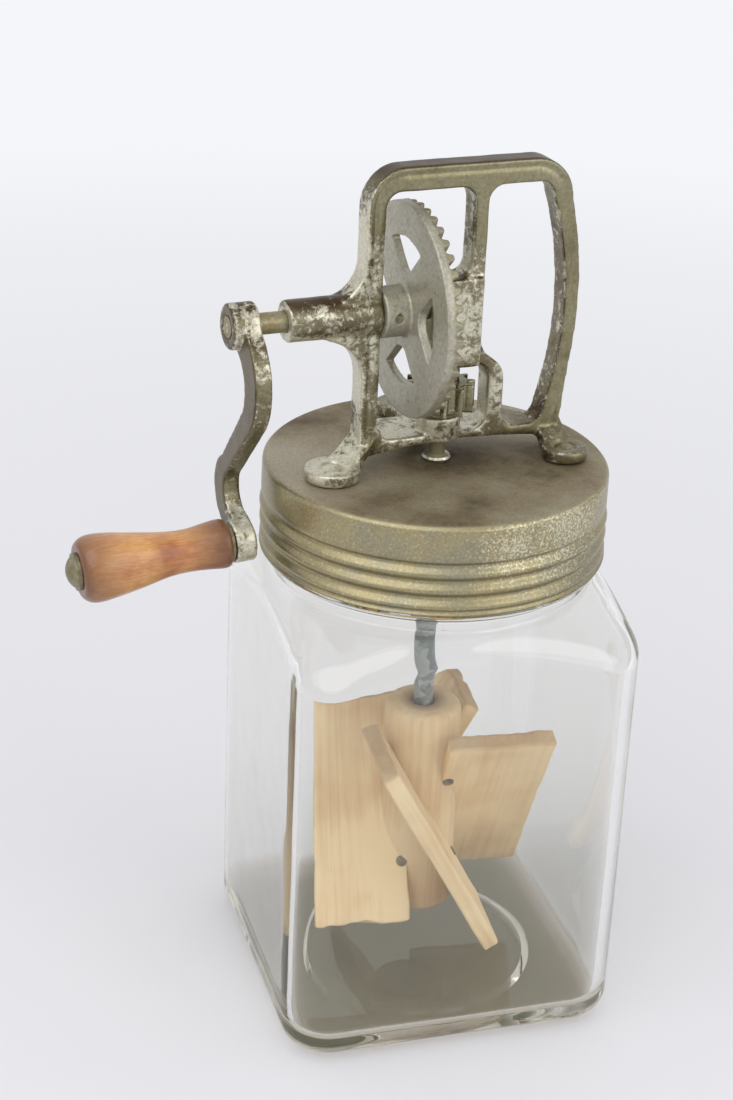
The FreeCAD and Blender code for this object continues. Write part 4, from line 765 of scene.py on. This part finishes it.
def soft_casting(node, name, cell, passes, swell, lumps):
    """The shape of a CAD node as a sand casting: surface remeshed, edges softened, skin a little uneven.

    swell gives back what the softening takes off, and lumps is the depth of the uneven skin.
    """
    lump_spacing = 7 * MM
    bm = bmesh.new()
    bm.from_mesh(NODES[node].data)
    bmesh.ops.remove_doubles(bm, verts=bm.verts, dist=0.002 * MM)
    rough = bpy.data.meshes.new(name)
    bm.to_mesh(rough)
    bm.free()
    blank = bpy.data.objects.new(name + "_blank", rough)
    bpy.context.scene.collection.objects.link(blank)
    skin = blank.modifiers.new("skin", "REMESH")
    skin.mode = "VOXEL"
    skin.voxel_size = cell
    soften = blank.modifiers.new("soften", "SMOOTH")
    soften.factor = 0.5
    soften.iterations = passes
    fill = blank.modifiers.new("fill", "DISPLACE")
    fill.mid_level = 0.0
    fill.strength = swell
    graph = bpy.context.evaluated_depsgraph_get()
    mesh = bpy.data.meshes.new_from_object(blank.evaluated_get(graph))
    bpy.data.objects.remove(blank)
    mesh.name = name
    bm = bmesh.new()
    bm.from_mesh(mesh)
    bm.normal_update()
    for vert in bm.verts:
        vert.co += vert.normal * noise.noise(vert.co / lump_spacing) * lumps
    bm.to_mesh(mesh)
    bm.free()
    return mesh


class CHURN_OT_casting(bpy.types.Operator):
    """Casts the frame in iron from its CAD shape"""
    bl_idname = "churn.casting"
    bl_label = "Frame casting"

    def execute(self, context):
        cell = settings("casting").grain
        mesh = soft_casting("frame_casting", "frame_iron_casting", cell, 11, 0.15 * MM, 0.16 * MM)
        finish_piece("frame_iron_casting", mesh, frame_iron(), "lid", ["frame_casting"])
        return {"FINISHED"}


class CHURN_OT_crank(bpy.types.Operator):
    """Casts the crank with its hub and eye"""
    bl_idname = "churn.crank"
    bl_label = "Crank"

    def execute(self, context):
        cell = settings("casting").fine_grain
        mesh = soft_casting("crank_arm", "crank_iron_casting", cell, 14, 0.15 * MM, 0.15 * MM)
        finish_piece("crank_iron_casting", mesh, crank_iron(), "crank", ["crank_arm"])
        return {"FINISHED"}


class CHURN_OT_gears(bpy.types.Operator):
    """Casts the crown gear and the pinion, with soft worn teeth"""
    bl_idname = "churn.gears"
    bl_label = "Gears"

    def execute(self, context):
        iron = gear_iron()
        cell = settings("casting").fine_grain
        crown = soft_casting("crown_gear", "crown_gear_casting", cell, 5, 0.05 * MM, 0.1 * MM)
        finish_piece("crown_gear_casting", crown, iron, "crank", ["crown_gear"])
        pinion = soft_casting("pinion_gear", "pinion_casting", cell * 0.7, 4, 0.05 * MM, 0.05 * MM)
        finish_piece("pinion_casting", pinion, pinion_iron(), "dasher", ["pinion_gear"])
        return {"FINISHED"}


def flowing(points, count):
    """Points of a smooth line through the given ones, by cubic curves whose slopes follow the neighbours."""
    padded = [points[0]] + list(points) + [points[-1]]
    line = []
    for index in range(1, len(padded) - 2):
        before, start, end, after = (Vector(p) for p in padded[index - 1:index + 3])
        for step in range(count):
            t = step / count
            line.append(tuple(0.5 * (2 * start + (end - before) * t
                                     + (2 * before - 5 * start + 4 * end - after) * t * t
                                     + (3 * start - before - 3 * end + after) * t ** 3)))
    return line + [tuple(points[-1])]


class CHURN_OT_grip(bpy.types.Operator):
    """Turns the wooden grip: a collar, a waist and a swelling end"""
    bl_idname = "churn.grip"
    bl_label = "Wooden grip"

    def execute(self, context):
        start = Vector(JOINTS["grip_spin"]["pos_m"])
        along = Vector(JOINTS["grip_spin"]["axis"]).normalized()
        distances = [(vert.co - start).dot(along) for vert in NODES["wooden_grip"].data.vertices]
        inner, outer = min(distances), max(distances)
        run = outer - inner
        bore = 3.5 * MM
        # Radii, and shares of the run from the crank's eye to the free end
        outline = [
            (bore, 0.0), (7.6 * MM, 0.0), (9.0 * MM, 0.015), (9.3 * MM, 0.06), (8.7 * MM, 0.15),
            (8.1 * MM, 0.25), (8.2 * MM, 0.36), (9.0 * MM, 0.48), (10.6 * MM, 0.62), (12.0 * MM, 0.76),
            (12.6 * MM, 0.87), (12.2 * MM, 0.94), (10.6 * MM, 0.985), (8.6 * MM, 1.0), (bore, 1.0)]
        profile = [
            (max(radius, bore), min(max(share, 0.0), 1.0) * run) for radius, share in flowing(outline, 5)]
        bm = turned(profile, 72)
        worn_unevenly(bm, bore, 11 * MM, 0.25 * MM)
        spin = along.to_track_quat("Z", "Y").to_matrix().to_4x4()
        bmesh.ops.transform(bm, matrix=Matrix.Translation(start + along * inner) @ spin, verts=bm.verts)
        finish_piece("grip_turning", mesh_of(bm, "grip_turning"), varnished_wood(), "grip",
                     ["wooden_grip"])
        return {"FINISHED"}


class CHURN_OT_dasher(bpy.types.Operator):
    """Makes the dasher's turned hub and its four sawn boards"""
    bl_idname = "churn.dasher"
    bl_label = "Dasher"

    def execute(self, context):
        dasher = settings("dasher")
        low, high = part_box("dasher_hub")
        run = high.z - low.z
        bore, foot, top = dasher.bore, dasher.hub_foot, dasher.hub_top
        profile = [(bore, 0), (foot - 2 * MM, 0), (foot - 0.5 * MM, 0.6 * MM), (foot, 2 * MM)]
        for share in steps_between(0, 1, 12)[1:]:
            profile.append((foot + (top - foot) * share, 2 * MM + (run - 5 * MM) * share))
        profile += [
            (top - 0.4 * MM, run - 1.5 * MM), (top - 1.5 * MM, run - 0.4 * MM), (top - 3 * MM, run),
            (bore + 1 * MM, run - 0.2 * MM), (bore, run - 1.2 * MM)]
        bm = turned(profile, 64)
        worn_unevenly(bm, bore, 14 * MM, 0.4 * MM)
        bmesh.ops.translate(bm, verts=bm.verts, vec=(0, 0, low.z))
        ring_of_rust = [((0, 0, high.z), 0.0115)]
        # The hub is darkened all over by dull: partly stain, partly painted shade
        wood = bare_wood("bare_turned_softwood", None, ring_of_rust, dull=0.2)
        finish_piece("hub_turning", mesh_of(bm, "hub_turning"), wood, "dasher", ["dasher_hub"])
        sawn = bare_wood("bare_sawn_softwood", "grain", end=dasher.board / 2)
        # Without a seed, noise vectors would start from the clock and differ from run to run
        noise.seed_set(5)
        boards = (
            ("blade_front", -90, dasher.tip), ("blade_right", 0, dasher.long_tip),
            ("blade_back", 90, dasher.tip), ("blade_left", 180, dasher.tip))
        for node, heading, tip in boards:
            self.board(node, math.radians(heading) - dasher.turn, tip, sawn)
        return {"FINISHED"}

    def board(self, node, heading, tip, material):
        """One sloping board in the place of its node. Its grain attribute keeps the straight shape."""
        dasher = settings("dasher")
        low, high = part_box(node)
        width = tip - dasher.root
        bm = bmesh.new()
        bmesh.ops.create_cube(bm, size=1.0)
        bmesh.ops.scale(bm, vec=(width, dasher.thickness, dasher.board), verts=bm.verts)
        bmesh.ops.bevel(bm, geom=list(bm.edges), offset=0.9 * MM, segments=2, profile=0.5, affect="EDGES",
                        material=-1)
        long_edges = [edge for edge in bm.edges if edge.calc_length() > 3 * MM]
        bmesh.ops.subdivide_edges(bm, edges=long_edges, cuts=14, use_grid_fill=True)
        seed = Vector((0, heading * 7, 0))
        grain = bm.verts.layers.float_vector.new("grain")
        for vert in bm.verts:
            vert[grain] = vert.co
            edge_share = max(abs(vert.co.x) / (width / 2), abs(vert.co.z) / (dasher.board / 2)) ** 8
            wander = noise.noise_vector(vert.co / (12 * MM) + seed)
            fine = noise.noise_vector(vert.co / (4 * MM) + seed)
            vert.co.x += (wander.x * 0.9 + fine.x * 0.4) * MM * edge_share
            vert.co.z += (wander.z * 1.4 + fine.z * 1.0) * MM * edge_share
            vert.co.y += wander.y * 0.35 * MM
        middle = Matrix.Translation((0, 0, (low.z + high.z) / 2))
        turned_to = middle @ Matrix.Rotation(heading, 4, "Z") @ Matrix.Rotation(dasher.pitch, 4, "X")
        out = Matrix.Translation((dasher.root + width / 2, 0, 0))
        bmesh.ops.transform(bm, matrix=turned_to @ out, verts=bm.verts)
        finish_piece(node + "_board", mesh_of(bm, node + "_board"), material, "dasher", [node])


class CHURN_OT_fittings(bpy.types.Operator):
    """Gives the shafts, pins, rivets, washers, eyelet and nails their metals"""
    bl_idname = "churn.fittings"
    bl_label = "Fittings"

    def execute(self, context):
        steel = shaft_steel()
        fastener = fastener_steel()
        zinc = galvanised_rod()
        finishes = {
            "foot_rivets": bpy.data.materials["nickel_plated_cast_iron"],
            "crank_shaft": steel, "crank_pin": steel, "gear_pin": steel, "pinion_pin": steel,
            "shaft_eyelet": eyelet_metal(), "dasher_shaft": zinc, "dasher_pin": zinc}
        for name, node in NODES.items():
            if node.hide_render:
                continue
            material = finishes.get(name, fastener)
            if not node.material_slots:
                node.data.materials.append(material)
            for slot in node.material_slots:
                slot.material = material
        return {"FINISHED"}


class CHURN_OT_stage(bpy.types.Operator):
    """Sets the pale floor, the soft studio light and the camera"""
    bl_idname = "churn.stage"
    bl_label = "Stage"

    def execute(self, context):
        self.floor()
        self.sky()
        self.lamp("key", (-0.9, -0.55, 1.35), 1.8, 10.0)
        self.lamp("fill", (0.9, -1.2, 0.9), 1.4, 6.0)
        self.camera()
        context.scene.view_settings.view_transform = "Standard"
        return {"FINISHED"}

    def floor(self):
        """A wide pale floor just below the glass, with shadows near the churn and plain far behind."""
        stage = settings("stage")
        material, tree, shader, place = new_material("pale_matt_floor")
        feed(tree, shader, {"Base Color": stage.floor, "Roughness": 0.9, "Specular IOR Level": 0.2})
        gap = add(tree, "VectorMath", {0: place}, operation="LENGTH").outputs["Value"]
        far = add(tree, "MapRange", {"Value": gap, "From Min": 0.3, "From Max": 1.3}).outputs[0]
        path = add(tree, "LightPath").outputs
        seen = path["Is Camera Ray"]
        for kind in ("Is Glossy Ray", "Is Transmission Ray"):
            seen = add(tree, "Math", {0: seen, 1: path[kind]}, operation="MAXIMUM").outputs[0]
        share = add(tree, "Math", {0: seen, 1: far}, operation="MULTIPLY").outputs[0]
        backdrop = add(tree, "Emission", {"Color": stage.backdrop, "Strength": 1.0})
        mixed = add(tree, "MixShader", {0: share, 1: shader.outputs[0], 2: backdrop.outputs[0]})
        tree.links.new(mixed.outputs[0], tree.nodes["Material Output"].inputs["Surface"])
        bm = bmesh.new()
        bmesh.ops.create_circle(bm, cap_ends=True, segments=64, radius=6.0)
        below_the_glass = -0.15 * MM
        bmesh.ops.translate(bm, verts=bm.verts, vec=(0, 0, below_the_glass))
        mesh = bpy.data.meshes.new("floor")
        bm.to_mesh(mesh)
        bm.free()
        floor = bpy.data.objects.new("floor", mesh)
        mesh.materials.append(material)
        bpy.context.scene.collection.objects.link(floor)

    def sky(self):
        """Plain pale light all round; reflections and glass see a room that is darker near the horizon."""
        world = bpy.data.worlds.new("studio")
        bpy.context.scene.world = world
        world.use_nodes = True
        tree = world.node_tree
        direction = add(tree, "TexCoord").outputs["Generated"]
        height = add(tree, "SeparateXYZ", {0: direction}).outputs[2]
        room = add(tree, "ValToRGB", {0: height}, stops=[
            (0.0, (0.48, 0.48, 0.47, 1)), (0.28, (0.72, 0.72, 0.71, 1)), (0.5, (1.12, 1.12, 1.11, 1)),
            (1.0, (1.02, 1.02, 1.02, 1))]).outputs[0]
        path = add(tree, "LightPath").outputs
        soft = add(tree, "Mix", {0: 0.65, 6: room, 7: (1.0, 1.0, 1.02, 1)}, data_type="RGBA").outputs[2]
        later = add(tree, "Math", {0: path["Ray Depth"], 1: 1.5}, operation="GREATER_THAN").outputs[0]
        later = add(tree, "Math", {0: later, 1: path["Is Transmission Ray"]}, operation="MAXIMUM").outputs[0]
        seen = add(tree, "Mix", {0: later, 6: room, 7: soft}, data_type="RGBA").outputs[2]
        backdrop = (1.1, 1.11, 1.13, 1)
        seen = add(tree, "Mix", {0: path["Is Camera Ray"], 6: seen, 7: backdrop}, data_type="RGBA").outputs[2]
        feed(tree, tree.nodes["Background"], {"Color": seen, "Strength": 0.8})

    def lamp(self, name, place, size, power):
        light = bpy.data.lights.new(name, "AREA")
        light.shape = "DISK"
        light.size = size
        light.energy = power
        lamp = bpy.data.objects.new(name, light)
        lamp.location = place
        aim = Vector((0, 0, JAR_HIGH.z / 2)) - Vector(place)
        lamp.rotation_euler = aim.to_track_quat("-Z", "Y").to_euler()
        bpy.context.scene.collection.objects.link(lamp)

    def camera(self):
        stage = settings("stage")
        flat = math.cos(stage.tilt)
        look = Vector((math.sin(stage.azimuth) * flat, math.cos(stage.azimuth) * flat, -math.sin(stage.tilt)))
        level = Vector((math.cos(stage.azimuth), -math.sin(stage.azimuth), 0))
        above = level.cross(look)
        right = level * math.cos(stage.roll) + above * math.sin(stage.roll)
        up = above * math.cos(stage.roll) - level * math.sin(stage.roll)
        lens = bpy.data.cameras.new("camera")
        lens.lens = stage.focal
        lens.sensor_width = 36
        lens.clip_start = 0.05
        lens.clip_end = 20
        camera = bpy.data.objects.new("camera", lens)
        camera.matrix_world = Matrix((
            (right.x, up.x, -look.x, stage.eye[0]), (right.y, up.y, -look.y, stage.eye[1]),
            (right.z, up.z, -look.z, stage.eye[2]), (0, 0, 0, 1)))
        bpy.context.scene.collection.objects.link(camera)
        bpy.context.scene.camera = camera


class CHURN_PT_panel(bpy.types.Panel):
    """Lists the churn's pieces and their settings"""
    bl_idname = "CHURN_PT_panel"
    bl_label = "Butter churn"
    bl_space_type = "VIEW_3D"
    bl_region_type = "UI"
    bl_category = "Churn"

    def draw(self, context):
        for maker in OPERATORS:
            self.layout.operator(maker.bl_idname)
        for group in GROUPS:
            box = self.layout.box()
            box.label(text=group)
            for name in GROUPS[group].__annotations__:
                box.prop(settings(group), name)


GROUPS = {"jar": JarSettings, "lid": LidSettings, "casting": CastingSettings, "wood": WoodSettings,
          "dasher": DasherSettings, "stage": StageSettings}
OPERATORS = (CHURN_OT_jar, CHURN_OT_lid, CHURN_OT_casting, CHURN_OT_crank, CHURN_OT_gears, CHURN_OT_grip,
             CHURN_OT_dasher, CHURN_OT_fittings, CHURN_OT_stage)


def register():
    for group, kind in GROUPS.items():
        bpy.utils.register_class(kind)
        setattr(bpy.types.Scene, "churn_" + group, bpy.props.PointerProperty(type=kind))
    for kind in OPERATORS + (CHURN_PT_panel,):
        bpy.utils.register_class(kind)


def unregister():
    for kind in (CHURN_PT_panel,) + OPERATORS[::-1]:
        bpy.utils.unregister_class(kind)
    for group, kind in GROUPS.items():
        delattr(bpy.types.Scene, "churn_" + group)
        bpy.utils.unregister_class(kind)


def main():
    register()
    for maker in OPERATORS:
        getattr(bpy.ops.churn, maker.bl_idname.split(".")[1])()


if __name__ == "__main__":
    main()
